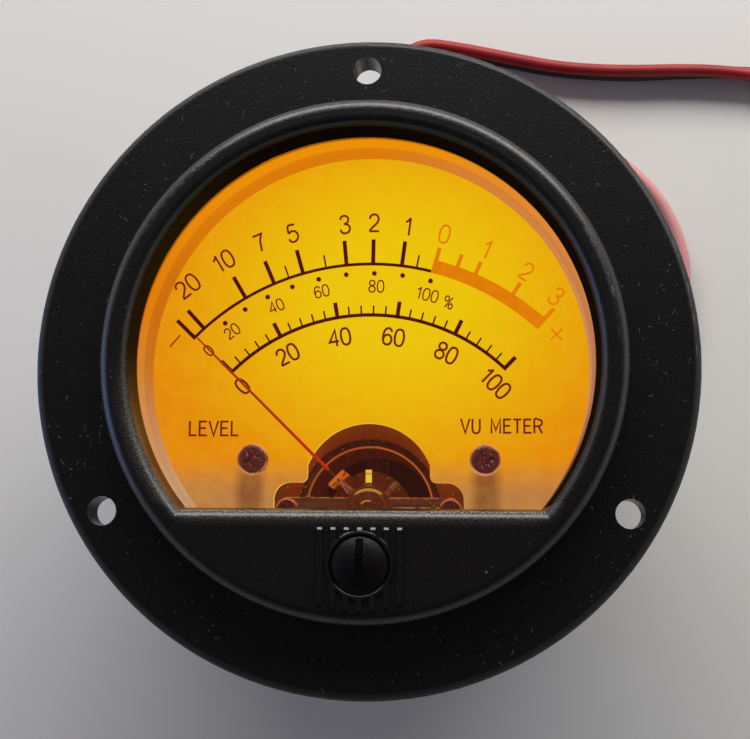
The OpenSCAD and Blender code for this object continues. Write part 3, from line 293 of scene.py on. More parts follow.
def bezel_highlights_and_matt_wall(p, tone):
    """Painted highlights on the upper ends of the ribs, on arcs round the knob's collar, and in grains along
    the window's bevel. The window's wall is matt.
    """
    from_middle, x, y, z = p.about(0.0, 0.0)
    from_knob, _, above_knob, _ = p.about(0.0, ADJUSTER_Y)
    on_face = z.rise(FACE_TOP, FACE_TOP + 0.1 * MM)

    # Painted highlight on the upper end of each rib.
    rib = x.beside(RIB_PITCH).rise(0.30 * MM, 0.24 * MM) * x.size().rise(3.4 * RIB_PITCH, 3.3 * RIB_PITCH)
    rib_end_highlight = rib * (y - RIB_TOP).band(-0.24 * MM, 0.03 * MM, 0.04 * MM) * on_face
    tone = p.blend(rib_end_highlight, tone, (0.60, 0.58, 0.55))

    # Painted highlights on arcs round the knob's collar, above and below the knob.
    upper = from_knob.band(3.80 * MM, 3.92 * MM, 0.05 * MM) * above_knob.rise(2.0 * MM, 3.4 * MM)
    lower = from_knob.band(3.48 * MM, 3.56 * MM, 0.05 * MM) * above_knob.rise(-1.9 * MM, -2.9 * MM)
    patchy = p.noise(900.0, 2.0).rise(0.38, 0.55)
    tone = p.blend((upper * patchy).most(lower * 0.8) * on_face, tone, (0.2, 0.19, 0.17))

    above_chord = y.rise(CHORD_Y - 0.15 * MM, CHORD_Y + 0.45 * MM)
    lit_side = x.rise(-17.0 * MM, -23.0 * MM) * above_knob.rise(26.0 * MM, 14.0 * MM)
    # Painted grainy highlight on the window's bevel, along the chord and up the lower left side.
    bevel = z.rise(FACE_TOP - 1.5 * MM, FACE_TOP - 1.1 * MM)
    along_chord = (
        bevel * y.rise(CHORD_Y - 2.45 * MM, CHORD_Y - 0.45 * MM)
        * y.rise(CHORD_Y + 0.85 * MM, CHORD_Y + 0.25 * MM) * from_middle.rise(29.6 * MM, 27.0 * MM)
    )
    along_side = from_middle.rise(30.2 * MM, 27.6 * MM) * above_chord * lit_side
    edge = z.rise(FACE_TOP - 2.5 * MM, FACE_TOP - 2.0 * MM) * along_side.most(along_chord)
    highlight_grain = p.noise(5200.0, 2.0, 0.6).rise(0.36, 0.68)
    tone = p.blend(edge * highlight_grain * 0.5, tone, (0.24, 0.22, 0.19))

    wall = from_middle.rise(29.7 * MM, 29.3 * MM) * z.rise(FACE_TOP - 0.5 * MM, FACE_TOP - 1.1 * MM)
    level = (0.88 + x.rise(-24.0 * MM, -12.0 * MM) * 0.1) * (1.0 - lit_side * 0.85)
    p.matt(wall * above_chord * level, (0.008, 0.0045, 0.0045))
    return tone


def case_spill(p, tone):
    """Lamp light on the floor of the case under the movement."""
    reach, _, _, z = p.about(PIVOT.x, PIVOT.y)
    pool = reach.rise(9.5 * MM, 8.0 * MM) * z.rise(3.0 * MM, 4.0 * MM)
    p.set(emission_color=p.blend(pool, (0.0, 0.0, 0.0), srgb(42, 10, 5)), emission_strength=1.0)
    return tone


def clear_window():
    """Thin clear plastic: see-through, with a mirror gloss that grows as the view gets flatter."""
    p = Paint("clear_window")
    gloss = p.add("ShaderNodeFresnel", None, {"IOR": 1.49})
    haze = p.noise(60.0, 2.0).rise(0.5, 0.8) * 0.004
    p.set(base_color=(0.95, 0.95, 0.95), roughness=0.03, metallic=1.0, alpha=gloss * 0.8 + haze)
    return p.material


def lit(name, glow, body, rough=0.55, strength=1.0):
    """A finish that shines by itself as well as taking light."""
    p = Paint(name)
    p.set(
        base_color=body, roughness=rough, specular_ior_level=0.08,
        emission_color=glow(p), emission_strength=strength
    )
    return p.material


def dial_glow(p):
    """Amber of the back-lit dial: brightest above the middle, browner at the chin, with bright cut edges."""
    x, y, z = p.axes(p.place())
    reach = (((x - 3.0 * MM) / (33.0 * MM)) ** 2.0 + ((y - 10.0 * MM) / (27.0 * MM)) ** 2.0) ** 0.5
    colour = p.ramp(
        reach,
        (0.0, srgb(243, 202, 2)), (0.3, srgb(241, 198, 2)), (0.56, srgb(238, 179, 1)),
        (0.85, srgb(234, 152, 2)), (1.0, srgb(232, 138, 4))
    )
    colour = p.blend(y.rise(-10.4 * MM, -16.4 * MM), colour, srgb(188, 124, 70))
    # Painted shadow below each dial screw: the glow turns brown there.
    shade = None
    for middle in (-14.9 * MM, 14.6 * MM):
        across = ((x - middle) / (2.1 * MM)).size().rise(1.2, 0.3)
        shade = across if shade is None else shade.most(across)
    colour = p.blend(shade * y.rise(-11.4 * MM, -13.4 * MM) * 0.72, colour, srgb(118, 58, 38))
    mottle = p.noise(420.0, 3.0, 0.55)
    colour = p.blend(mottle.rise(0.35, 0.65) * 0.07, colour, srgb(250, 222, 40))
    return p.blend(z.rise(DIAL_TOP - 0.02 * MM, DIAL_TOP - 0.08 * MM), colour, srgb(250, 206, 80))


def frame_glow(p):
    """Light that climbs the inside of the light frame: amber at the crown, salmon right, beige left."""
    x, y, z = p.axes(p.place())
    # One round of the frame: 0 at the left, 0.25 at the chin, 0.5 at the right, 0.75 at the crown
    turn = p.add("ShaderNodeMath", {"operation": "ARCTAN2"}, {0: y, 1: x}) / (2 * math.pi) + 0.5
    beige, brown = srgb(195, 151, 112), srgb(105, 61, 40)
    tan, salmon, amber = srgb(211, 129, 42), srgb(190, 116, 74), srgb(236, 142, 6)
    rust, rose, deep_amber = srgb(194, 111, 26), srgb(194, 132, 100), srgb(217, 118, 2)
    upper = p.ramp(
        turn,
        (0.0, tan), (0.09, beige), (0.38, brown), (0.44, brown), (0.53, salmon), (0.6, srgb(218, 130, 56)),
        (0.7, amber), (0.85, amber), (0.96, srgb(224, 123, 8)), (1.0, tan)
    )
    lower = p.ramp(
        turn,
        (0.0, rust), (0.09, beige), (0.38, brown), (0.415, brown), (0.475, rose), (0.59, srgb(200, 127, 74)),
        (0.74, deep_amber), (0.87, deep_amber), (0.96, srgb(201, 105, 5)), (1.0, rust)
    )
    colour = p.blend(z.rise(DIAL_TOP + 3.4 * MM, DIAL_TOP + 3.9 * MM), lower, upper)
    return p.blend(z.rise(LIGHT_TOP - 0.9 * MM, LIGHT_TOP) * 0.75, colour, srgb(96, 26, 6))


def ink(name, first, second, body):
    """Printing on the lit dial."""
    return lit(name, lambda p: p.blend(p.noise(900.0).rise(0.3, 0.7), srgb(*first), srgb(*second)), body)


def worked_metal(name, first, second, rough, grain=1800.0, depth=FINE_RELIEF, level=1.0, stretch=None):
    """Worked metal with a faint grain; stretch draws the grain out into brush lines."""
    p = Paint(name)
    at = p.place()
    if stretch:
        at = p.add("ShaderNodeMapping", None, {"Vector": at, "Scale": stretch}, "Vector")
    tone = p.noise(grain, 3.0, 0.6, at)
    p.set(
        base_color=p.blend(tone.rise(0.3, 0.7), first, second), metallic=level,
        roughness=rough + (tone - 0.5) * 0.14, normal=p.bump(tone, depth, 0.6)
    )
    return p, tone


def metal(*values, **options):
    """Worked metal away from the lamps."""
    return worked_metal(*values, **options)[0].material


def warmed(name, first, second, rough, spill, brighter=None, level=0.5, **options):
    """Metal of the movement in the amber light that spills over from the lamps."""
    p, tone = worked_metal(name, first, second, rough, level=level, **options)
    colour = p.blend(tone.rise(0.3, 0.7), [c * 0.8 for c in srgb(*spill)], [c * 1.2 for c in srgb(*spill)])
    if brighter:
        colour = brighter(p, colour)
    glints = p.cells(1500.0).rise(0.17, 0.08) * p.noise(260.0, 1.0).rise(0.46, 0.56)
    p.set(emission_color=p.blend(glints * 0.45, colour, srgb(222, 150, 80)), emission_strength=1.0)
    return p.material


def yoke_spill(p, colour):
    """Front face and the bore's chamfer catch more of the light than the step between them."""
    reach, x, _, z = p.about(PIVOT.x, PIVOT.y)
    face = z.rise(YOKE_TOP - 0.4 * MM, YOKE_TOP - 0.1 * MM)
    colour = p.blend(face * reach.rise(12.6 * MM, 10.2 * MM), colour, srgb(100, 33, 5))
    ring = reach.band(7.92 * MM, 8.10 * MM, 0.05 * MM) * z.rise(YOKE_TOP - 1.1 * MM, YOKE_TOP - 0.95 * MM)
    lip = reach.band(8.9 * MM, 9.0 * MM, 0.05 * MM) * z.rise(YOKE_TOP - 0.5 * MM, YOKE_TOP - 0.1 * MM)
    colour = p.blend(lip * 0.6, colour, srgb(40, 10, 4))
    return p.blend(ring * (0.75 + x.rise(-6.0 * MM, 6.0 * MM) * 0.25), colour, srgb(178, 86, 34))


def hub_spill(p, colour):
    """Painted highlights: bright crescents on the hub's rings, and the lever's upright tab lit bright."""
    reach, x, y, _ = p.about(PIVOT.x, PIVOT.y)
    crown = y.rise(1.7 * MM, 2.1 * MM) * reach.band(2.36 * MM, 2.6 * MM, 0.07 * MM)
    inner = reach.band(0.95 * MM, 1.12 * MM, 0.05 * MM) * y.rise(0.5 * MM, 0.8 * MM)
    inner = inner * x.rise(0.5 * MM, 0.2 * MM)
    rim = reach.band(2.95 * MM, 3.08 * MM, 0.05 * MM) * y.rise(1.0 * MM, 2.0 * MM)
    # Painted highlight on the lever's upright tab.
    tab = reach.rise(3.25 * MM, 3.45 * MM) * x.size().rise(0.7 * MM, 0.4 * MM)
    colour = p.blend(rim * 0.5, colour, srgb(170, 90, 30))
    colour = p.blend(crown.most(inner * 0.8), colour, srgb(182, 128, 54))
    notch = reach.band(4.4 * MM, 4.55 * MM, 0.08 * MM)
    return p.blend(tab, colour, p.blend(notch * 0.6, srgb(236, 190, 58), srgb(170, 90, 22)))


def dial_screw_spill(p, colour):
    """Painted highlight round each head's rim, strongest at its top and bottom, painted shade in its recess,
    and painted glints as light specks there.
    """
    _, _, y, _ = p.about(0.0, DIAL_SCREW_Y)
    x = p.axes(p.place())[0].size() - DIAL_SCREW_X
    reach = (x * x + y * y) ** 0.5
    # Painted highlight round the rim, strongest at the top and bottom.
    rim = reach.rise(1.66 * MM, 1.78 * MM) * p.noise(500.0, 2.0).rise(0.36, 0.5)
    colour = p.blend(rim * (0.25 + y.size().rise(0.3 * MM, 1.5 * MM) * 0.65), colour, srgb(204, 140, 98))
    # Painted glints as light specks in the recess.
    specks = p.noise(2400.0, 2.0, 0.6).rise(0.60, 0.66) * reach.rise(1.4 * MM, 0.9 * MM)
    # Painted shade in the recess.
    dark = p.noise(1300.0, 2.0).rise(0.55, 0.45) * reach.rise(1.35 * MM, 1.0 * MM)
    colour = p.blend(dark * 0.6, colour, srgb(34, 8, 6))
    return p.blend(specks * 0.6, colour, srgb(190, 110, 90))


def carrier_spill(p, colour):
    """The carrier's upright tab stands bright in the lamps' light."""
    reach = p.about(PIVOT.x, PIVOT.y)[0]
    shine = p.blend(p.noise(850.0, 1.0).rise(0.42, 0.54), srgb(104, 40, 12), srgb(192, 92, 24))
    return p.blend(reach.rise(5.0 * MM, 5.15 * MM), colour, shine)


def bridge_spill(p, colour):
    """Painted highlights along the bridge's thin edges."""
    _, x, y, _ = p.about(PIVOT.x, PIVOT.y)
    upper = y.band(1.42 * MM, 1.56 * MM, 0.05 * MM)
    lower = y.band(0.2 * MM, 0.34 * MM, 0.05 * MM) * x.rise(2.0 * MM, 5.0 * MM)
    return p.blend(upper.most(lower) * 0.85 * p.noise(700.0).rise(0.35, 0.55), colour, srgb(166, 98, 46))


def bridge_screw_spill(p, colour):
    """Painted highlights on the upper rims of the bridge screws' heads."""
    _, x, y, _ = p.about(PIVOT.x, PIVOT.y)
    step = x.size() - BRIDGE_SCREW_X
    reach = (step * step + y * y) ** 0.5
    rim = reach.rise(BRIDGE_SCREW_R - 0.3 * MM, BRIDGE_SCREW_R - 0.12 * MM) * y.rise(0.0, 0.9 * MM)
    return p.blend(rim * 0.9, colour, srgb(186, 92, 32))


def plastic(name, first, second, rough, grain=2500.0):
    """Moulded plastic, board, stone or dust of two close tones."""
    p = Paint(name)
    tone = p.noise(grain, 2.0)
    p.set(
        base_color=p.blend(tone.rise(0.3, 0.7), first, second), roughness=rough + (tone - 0.5) * 0.1,
        normal=p.bump(tone, FINE_RELIEF, 0.5)
    )
    return p.material


def wire_skin(name, colour, deep, painted_glare=None):
    """Soft PVC with a slight sheen; the third colour is a painted pale glare on the loop beside the flange.
    """
    p = Paint(name)
    streak = p.noise(120.0, 3.0, 0.55)
    tone = p.blend(streak.rise(0.3, 0.7), colour, deep)
    if painted_glare:
        x, y, _ = p.axes(p.place())
        # Painted pale glare on the loop of the lead beside the flange.
        tone = p.blend(x.rise(33.0 * MM, 37.0 * MM) * y.band(2.0 * MM, 34.0 * MM, 4.0 * MM), tone, painted_glare)
    relief = p.bump(p.noise(2600.0, 2.0), FINE_RELIEF, 0.4)
    p.set(base_color=tone, roughness=0.46 + streak * 0.12, normal=relief)
    return p.material


def finishes(settings):
    """Every finish by its short name."""
    red = settings.red_wire[:]
    return {
        "bezel": grained_black("satin_black_plastic", bezel_highlights_and_matt_wall),
        "knob": grained_black("satin_black_knob", rough=0.28, gloss=0.18),
        "case": grained_black("black_case", case_spill, dusty=False),
        "window": clear_window(),
        "dial": lit("amber_dial", dial_glow, (0.035, 0.022, 0.002), 0.6),
        "light_frame": lit("glowing_frame", frame_glow, (0.03, 0.02, 0.01), 0.5),
        "dark_ink": ink("dark_ink", (66, 10, 2), (80, 15, 5), (0.008, 0.001, 0.001)),
        "numeral_ink": ink("numeral_ink", (104, 24, 5), (120, 31, 8), (0.014, 0.002, 0.001)),
        "orange_ink": ink("orange_ink", (226, 124, 0), (232, 132, 0), (0.03, 0.015, 0.0)),
        "brown_ink": ink("brown_ink", (150, 66, 4), (164, 78, 8), (0.02, 0.008, 0.0)),
        "screw": metal("plated_screw", (0.16, 0.10, 0.10), (0.26, 0.18, 0.18), 0.3),
        "iron": warmed("turned_iron", (0.07, 0.020, 0.008), (0.12, 0.035, 0.014), 0.4, (56, 18, 7),
                       yoke_spill),
        "magnet": warmed("sintered_magnet", (0.07, 0.024, 0.012), (0.11, 0.04, 0.02), 0.45, (76, 27, 8),
                         depth=2 * FINE_RELIEF),
        "alloy": warmed("cast_alloy", (0.16, 0.07, 0.04), (0.24, 0.12, 0.07), 0.42, (50, 15, 7)),
        "bridge": warmed("dull_brass", (0.15, 0.07, 0.05), (0.24, 0.12, 0.08), 0.38, (74, 35, 17),
                         bridge_spill, stretch=(0.08, 1.0, 1.0)),
        "rear_bridge": warmed("dim_brass", (0.10, 0.04, 0.02), (0.16, 0.07, 0.04), 0.4, (46, 14, 6)),
        "weight": warmed("balance_wire", (0.26, 0.16, 0.11), (0.4, 0.28, 0.2), 0.3, (88, 44, 24)),
        "hub": warmed("hub_brass", (0.14, 0.05, 0.02), (0.22, 0.08, 0.03), 0.35, (76, 32, 10), hub_spill),
        "movement_screw": warmed("movement_screw", (0.12, 0.05, 0.05), (0.2, 0.1, 0.1), 0.3, (60, 18, 12),
                                 bridge_screw_spill),
        "dial_screw": warmed("dial_screw", (0.16, 0.08, 0.08), (0.26, 0.15, 0.15), 0.3, (70, 22, 18),
                             dial_screw_spill),
        "brass": metal("turned_brass", (0.72, 0.50, 0.16), (0.86, 0.64, 0.26), 0.26),
        "carrier": warmed("pointer_bronze", (0.30, 0.12, 0.04), (0.42, 0.18, 0.07), 0.35, (90, 38, 16),
                          carrier_spill),
        "bronze": metal("phosphor_bronze", (0.62, 0.30, 0.12), (0.75, 0.42, 0.18), 0.35),
        "copper": warmed("enamelled_copper", (0.16, 0.04, 0.015), (0.24, 0.07, 0.025), 0.35, (62, 17, 7),
                         grain=3000.0),
        "tin": metal("tinned_metal", (0.55, 0.54, 0.52), (0.68, 0.67, 0.64), 0.33),
        "steel": metal("spring_steel", (0.42, 0.42, 0.43), (0.55, 0.55, 0.56), 0.3),
        "white": plastic("white_moulding", (0.72, 0.72, 0.69), (0.8, 0.8, 0.77), 0.5),
        "board": plastic("white_board", (0.66, 0.70, 0.64), (0.74, 0.77, 0.72), 0.4),
        "chip": plastic("black_chip", (0.01, 0.01, 0.01), (0.02, 0.02, 0.02), 0.4),
        "lamp": lit("lamp_body", lambda p: p.blend(p.noise(800.0), (1.0, 0.75, 0.3), (1.0, 0.85, 0.5)),
                    (0.8, 0.7, 0.4), 0.25, 1.5),
        "jewel": plastic("red_stone", (0.35, 0.01, 0.05), (0.45, 0.02, 0.08), 0.08),
        "rubber": plastic("soft_rubber", (0.012, 0.012, 0.012), (0.02, 0.02, 0.02), 0.7),
        "needle": needle_paint(),
        # The last colour is the painted pale glare on the red wire's loop.
        "red_wire": wire_skin("red_insulation", red, [c * 0.72 for c in red], (0.72, 0.30, 0.30)),
        "black_wire": wire_skin("black_insulation", (0.010, 0.010, 0.011), (0.016, 0.016, 0.018)),
        "dust": plastic("pale_dust", (0.18, 0.17, 0.16), (0.42, 0.40, 0.38), 0.8, 900.0),
    }


def needle_paint():
    """Red needle with a dark neck, bare and pale at its forked root. The whole needle carries a painted glow
    of light, strongest on the red part nearer the pivot.
    """
    p = Paint("red_needle")
    x, y, _ = p.axes(p.place())
    reach = (x * x + (y - PIVOT.y) * (y - PIVOT.y)) ** 0.5
    tone = p.noise(1500.0).rise(0.3, 0.7)
    red = p.blend(tone, (0.50, 0.022, 0.001), (0.60, 0.045, 0.002))
    neck = reach.rise(4.5 * MM, 4.9 * MM)
    painted = reach.rise(6.5 * MM, 6.9 * MM)
    body = p.blend(painted, p.blend(neck, (0.38, 0.26, 0.22), (0.07, 0.03, 0.02)), red)
    # Painted glow of light, stronger on the red part nearer the pivot.
    red_glow = p.blend(reach.rise(10.0 * MM, 20.0 * MM), (0.62, 0.026, 0.0), (0.40, 0.024, 0.0))
    glow = p.blend(painted, p.blend(neck, (0.26, 0.13, 0.09), (0.10, 0.03, 0.01)), red_glow)
    p.set(base_color=body, roughness=0.35 + tone * 0.1, emission_color=glow, emission_strength=0.5)
    return p.material


NODE_FINISH = {
    "front_bezel": "bezel", "window_lens": "window", "light_frame": "light_frame", "dial_plate": "dial",
    "scale_marks": "dark_ink", "red_zone": "orange_ink", "dial_screws": "dial_screw", "light_box": "white",
    "lamp_board": "board", "lamps": "lamp", "lamp_resistor": "chip", "lamp_wires": "red_wire",
    "rear_case": "case", "case_screws": "screw", "yoke_ring": "iron", "core_magnet": "magnet",
    "core_webs": "alloy", "front_bridge": "bridge", "rear_bridge": "rear_bridge",
    "bridge_screws": "movement_screw", "rear_bridge_screws": "screw", "front_jewel_screw": "hub",
    "rear_jewel_screw": "brass",
    "jewels": "jewel", "jewel_lock_nut": "hub", "rear_spring_anchor": "brass", "terminal_studs": "brass",
    "terminal_nuts": "brass", "terminal_washers": "brass", "solder_lugs": "tin", "strap_plus": "brass",
    "strap_minus": "brass", "adjuster_clip": "steel", "lead_grommet": "rubber", "bare_ends": "tin",
    "zero_adjuster": "knob", "zero_lever": "hub", "pointer": "needle", "pointer_carrier": "carrier",
    "balance_weights": "weight", "coil_former": "alloy", "coil_winding": "copper", "pivots": "steel",
    "front_hairspring": "bronze", "rear_hairspring": "bronze",
}

# Strokes of the thin numerals and letters, on a cap height of 1
GLYPHS = {
    "0": (0.62, [[(0.31, 1), (0.14, 0.93), (0.06, 0.72), (0.04, 0.5), (0.06, 0.28), (0.14, 0.07), (0.31, 0),
                  (0.48, 0.07), (0.56, 0.28), (0.58, 0.5), (0.56, 0.72), (0.48, 0.93), (0.31, 1)]]),
    "1": (0.44, [[(0.06, 0.74), (0.2, 0.84), (0.3, 1)], [(0.3, 1.0), (0.3, 0)]]),
    "2": (0.6, [[(0.06, 0.74), (0.1, 0.9), (0.28, 1), (0.46, 0.93), (0.54, 0.75), (0.48, 0.55), (0.3, 0.35),
                 (0.12, 0.17), (0.05, 0.03)], [(0.03, 0.04), (0.57, 0.04)]]),
    "3": (0.6, [[(0.05, 0.8), (0.13, 0.95), (0.3, 1), (0.46, 0.92), (0.5, 0.76), (0.42, 0.6), (0.24, 0.54)],
                [(0.24, 0.54), (0.44, 0.48), (0.55, 0.3), (0.48, 0.08), (0.28, 0), (0.1, 0.06),
                 (0.03, 0.24)]]),
    "4": (0.62, [[(0.45, 0), (0.45, 1), (0.03, 0.3), (0.6, 0.3)]]),
    "5": (0.6, [[(0.52, 0.96), (0.14, 0.96), (0.08, 0.52)],
                [(0.08, 0.52), (0.26, 0.62), (0.46, 0.56), (0.56, 0.34), (0.48, 0.1), (0.28, 0), (0.1, 0.06),
                 (0.03, 0.22)]]),
    "6": (0.6, [[(0.53, 0.8), (0.46, 0.94), (0.31, 1), (0.13, 0.9), (0.04, 0.64), (0.04, 0.34), (0.12, 0.08),
                 (0.3, 0), (0.48, 0.08), (0.55, 0.3), (0.48, 0.52), (0.31, 0.6), (0.13, 0.52),
                 (0.05, 0.34)]]),
    "7": (0.58, [[(0.03, 0.96), (0.54, 0.96), (0.34, 0.6), (0.22, 0)]]),
    "8": (0.6, [[(0.3, 0.54), (0.12, 0.64), (0.08, 0.8), (0.15, 0.95), (0.3, 1), (0.45, 0.95), (0.52, 0.8),
                 (0.48, 0.64), (0.3, 0.54), (0.1, 0.42), (0.04, 0.25), (0.12, 0.06), (0.3, 0), (0.48, 0.06),
                 (0.56, 0.25), (0.5, 0.42), (0.3, 0.54)]]),
    "%": (0.86, [[(0.2, 1), (0.06, 0.9), (0.06, 0.66), (0.2, 0.54), (0.34, 0.66), (0.34, 0.9), (0.2, 1)],
                 [(0.66, 0.46), (0.52, 0.34), (0.52, 0.1), (0.66, 0), (0.8, 0.1), (0.8, 0.34), (0.66, 0.46)],
                 [(0.62, 1), (0.24, 0)]]),
    "-": (0.8, [[(0.04, 0.5), (0.76, 0.5)]]),
    "+": (0.8, [[(0.04, 0.5), (0.76, 0.5)], [(0.4, 0.14), (0.4, 0.86)]]),
    "E": (0.6, [[(0.56, 0.96), (0.08, 0.96), (0.08, 0.04), (0.58, 0.04)], [(0.08, 0.52), (0.5, 0.52)]]),
    "L": (0.56, [[(0.08, 1), (0.08, 0.04), (0.54, 0.04)]]),
    "M": (0.76, [[(0.08, 0), (0.08, 1), (0.38, 0.22), (0.68, 1), (0.68, 0)]]),
    "R": (0.66, [[(0.08, 0), (0.08, 0.96), (0.36, 0.96), (0.56, 0.88), (0.58, 0.66), (0.42, 0.52),
                  (0.08, 0.5)], [(0.36, 0.5), (0.6, 0)]]),
    "T": (0.6, [[(0.02, 0.96), (0.58, 0.96)], [(0.3, 0.96), (0.3, 0)]]),
    "U": (0.66, [[(0.08, 1), (0.08, 0.3), (0.16, 0.06), (0.33, 0), (0.5, 0.06), (0.58, 0.3), (0.58, 1)]]),
    "V": (0.64, [[(0.02, 1), (0.32, 0.02), (0.62, 1)]]),
    " ": (0.45, []),
}
SHARP = set("147LMTEV-+")
LETTER_SPACING = 0.1
MITRE_LIMIT = 0.45

# The printing stands this far to the right of the pivot's middle line
PRINT_SHIFT = 0.2 * MM

# Rows of print: cap height and stroke width in millimetres, turn of the baseline in degrees (None where it
# follows the arc), and then each text with its radius and its angle about the pivot
DARK_TEXT = (
    (2.3, 0.26, None, (("20", 36.85, 129.8), ("10", 36.85, 121.1), ("7", 36.85, 113.0), ("5", 36.6, 106.2),
                       ("3", 36.4, 95.5), ("2", 36.4, 89.6), ("1", 36.2, 82.7))),
    (1.45, 0.2, None, (("0", 28.75, 136.0),)),
    (1.45, 0.17, None, (("20", 28.6, 128.3), ("40", 28.4, 115.3), ("60", 28.3, 103.0))),
    (1.5, 0.17, None, (("80", 28.2, 88.8), ("100", 28.0, 75.4), ("%", 27.85, 69.5))),
    (2.1, 0.28, None, (("0", 22.4, 136.5), ("20", 22.15, 118.5), ("40", 22.0, 100.5), ("60", 21.85, 82.6),
                       ("80", 21.8, 64.2), ("100", 22.2, 45.3))),
    (1.9, 0.24, 0.0, (("LEVEL", 22.2, 153.1),)),
    (1.8, 0.24, 0.0, (("VU METER", 19.4, 32.5),)),
)
ORANGE_TEXT = (
    (2.3, 0.24, None, (("0", 36.1, 75.2), ("1", 36.0, 66.1), ("2", 35.8, 56.9), ("3", 35.5, 49.0))),
    (2.7, 0.24, None, (("+", 32.0, 43.4),)),
)
MINUS_TEXT = ((2.75, 0.22, None, (("-", 32.8, 139.75),)),)


# ---- meshes ----


def put(mesh_object, body, finish):
    """Adds the object to the scene, on its body, with its finish."""
    bpy.context.scene.collection.objects.link(mesh_object)
    mesh_object.data.materials.append(finish)
    if body:
        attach(mesh_object, body)
    return mesh_object


def mesh_from(name, build):
    """A new mesh object from a function that fills a bmesh."""
    data = bpy.data.meshes.new(name)
    work = bmesh.new()
    build(work)
    work.to_mesh(data)
    work.free()
    return bpy.data.objects.new(name, data)


def between(before, first, second, after, share):
    """Where a smooth curve lies at a share of the way from its first to its second value."""
    return 0.5 * (
        2 * first + (second - before) * share + (2 * before - 5 * first + 4 * second - after) * share * share
        + (3 * first - before - 3 * second + after) * share ** 3
    )


def smooth_stroke(points, closed, steps=5):
    """Points of a smooth flat curve through the given ones."""
    if len(points) < 3:
        return points
    count = len(points)
    out = []
    for i in range(count - 1):
        before = points[i - 1] if i > 0 else (points[-2] if closed else points[0])
        after = points[i + 2] if i + 2 < count else (points[1] if closed else points[-1])
        corners = list(zip(before, points[i], points[i + 1], after))
        for k in range(steps):
            out.append(tuple(between(*corner, k / steps) for corner in corners))
    out.append(points[-1])
    return out


def smooth_route(points, steps=4):
    """Points of a smooth curve in space through the given ones."""
    last = len(points) - 1
    out = []
    for i in range(last):
        before, after = points[max(i - 1, 0)], points[min(i + 2, last)]
        for k in range(steps):
            out.append(between(before, points[i], points[i + 1], after, k / steps))
    out.append(points[-1])
    return out


def ribbon(work, line, width, closed, placed, low, high):
    """A flat printed stroke of constant width along a line."""
    count = len(line)
    rows = []
    for i, point in enumerate(line):
        before = line[i - 1] if i else (line[-2] if closed else point)
        after = line[i + 1] if i + 1 < count else (line[1] if closed else point)
        into = Vector((point[0] - before[0], point[1] - before[1]))
        onto = Vector((after[0] - point[0], after[1] - point[1]))
        into = into.normalized() if into.length > 1e-9 else onto.normalized()
        onto = onto.normalized() if onto.length > 1e-9 else into
        along = (into + onto).normalized()
        side = Vector((-along.y, along.x))
        reach = width / 2 / max(MITRE_LIMIT, side.dot(Vector((-onto.y, onto.x))))
        rows.append([(point[0] + s * reach * side.x, point[1] + s * reach * side.y) for s in (-1, 1)])
    top = [[work.verts.new(placed(*q, high)) for q in row] for row in rows]
    under = [[work.verts.new(placed(*q, low)) for q in row] for row in rows]
    for i in range(count - 1):
        work.faces.new((top[i][0], top[i + 1][0], top[i + 1][1], top[i][1]))
        if i == 0 and not closed:
            work.faces.new((under[i][0], top[i][0], top[i][1], under[i][1]))
        for k, (first, second) in ((0, (i, i + 1)), (1, (i + 1, i))):
            work.faces.new((under[first][k], under[second][k], top[second][k], top[first][k]))


def stamp(work, text, centre, base, cap, stroke):
    """One number or word in the middle of its place, its baseline turned by the base angle."""
    widths = [GLYPHS[char][0] for char in text]
    pen = -(sum(widths) + LETTER_SPACING * (len(text) - 1)) / 2
    for char, wide in zip(text, widths):
        def placed(u, v, z, pen=pen):
            x, y = (pen + u) * cap * MM, (v - 0.5) * cap * MM
            return (centre.x + x * math.cos(base) - y * math.sin(base),
                    centre.y + x * math.sin(base) + y * math.cos(base), z)
        for line in GLYPHS[char][1]:
            closed = line[0] == line[-1]
            path = line if char in SHARP else smooth_stroke(line, closed)
            ribbon(work, path, stroke / cap, closed, placed, DIAL_TOP, DIAL_TOP + PRINT_THICKNESS)
        pen += wide + LETTER_SPACING


def lettering(name, rows, finish):
    """Thin printed numerals, each turned to its place on the dial."""
    def build(work):
        for cap, stroke, turn, places in rows:
            for text, radius, angle in places:
                outward = Vector((math.cos(math.radians(angle)), math.sin(math.radians(angle)), 0))
                centre = PIVOT + outward * radius * MM
                centre.x += PRINT_SHIFT
                base = math.radians(turn if turn is not None else angle - 90)
                stamp(work, text, centre, base, cap, stroke)

    return put(mesh_from(name, build), "case", finish)


def lead_points(side):
    """Middle line of one wire of the lead, in metres."""
    half = (WIRE_D + WIRE_GAP) / 2
    points = []
    last = len(LEAD_ROUTE) - 1
    for i, (x, y, z, lay) in enumerate(LEAD_ROUTE):
        before, after = LEAD_ROUTE[max(i - 1, 0)], LEAD_ROUTE[min(i + 1, last)]
        dx, dy = after[0] - before[0], after[1] - before[1]
        upright = math.hypot(dx, dy) < 0.3
        heading = math.radians(LEAD_START_DEG) if upright else math.atan2(dy, dx)
        turn = math.radians(lay)
        points.append(Vector((
            x - side * half * math.cos(turn) * math.sin(heading),
            y + side * half * math.cos(turn) * math.cos(heading),
            z + side * half * math.sin(turn)
        )) * MM)
    return points


def wire_length(points):
    return sum((b - a).length for a, b in zip(points, points[1:]))


# ---- settings ----


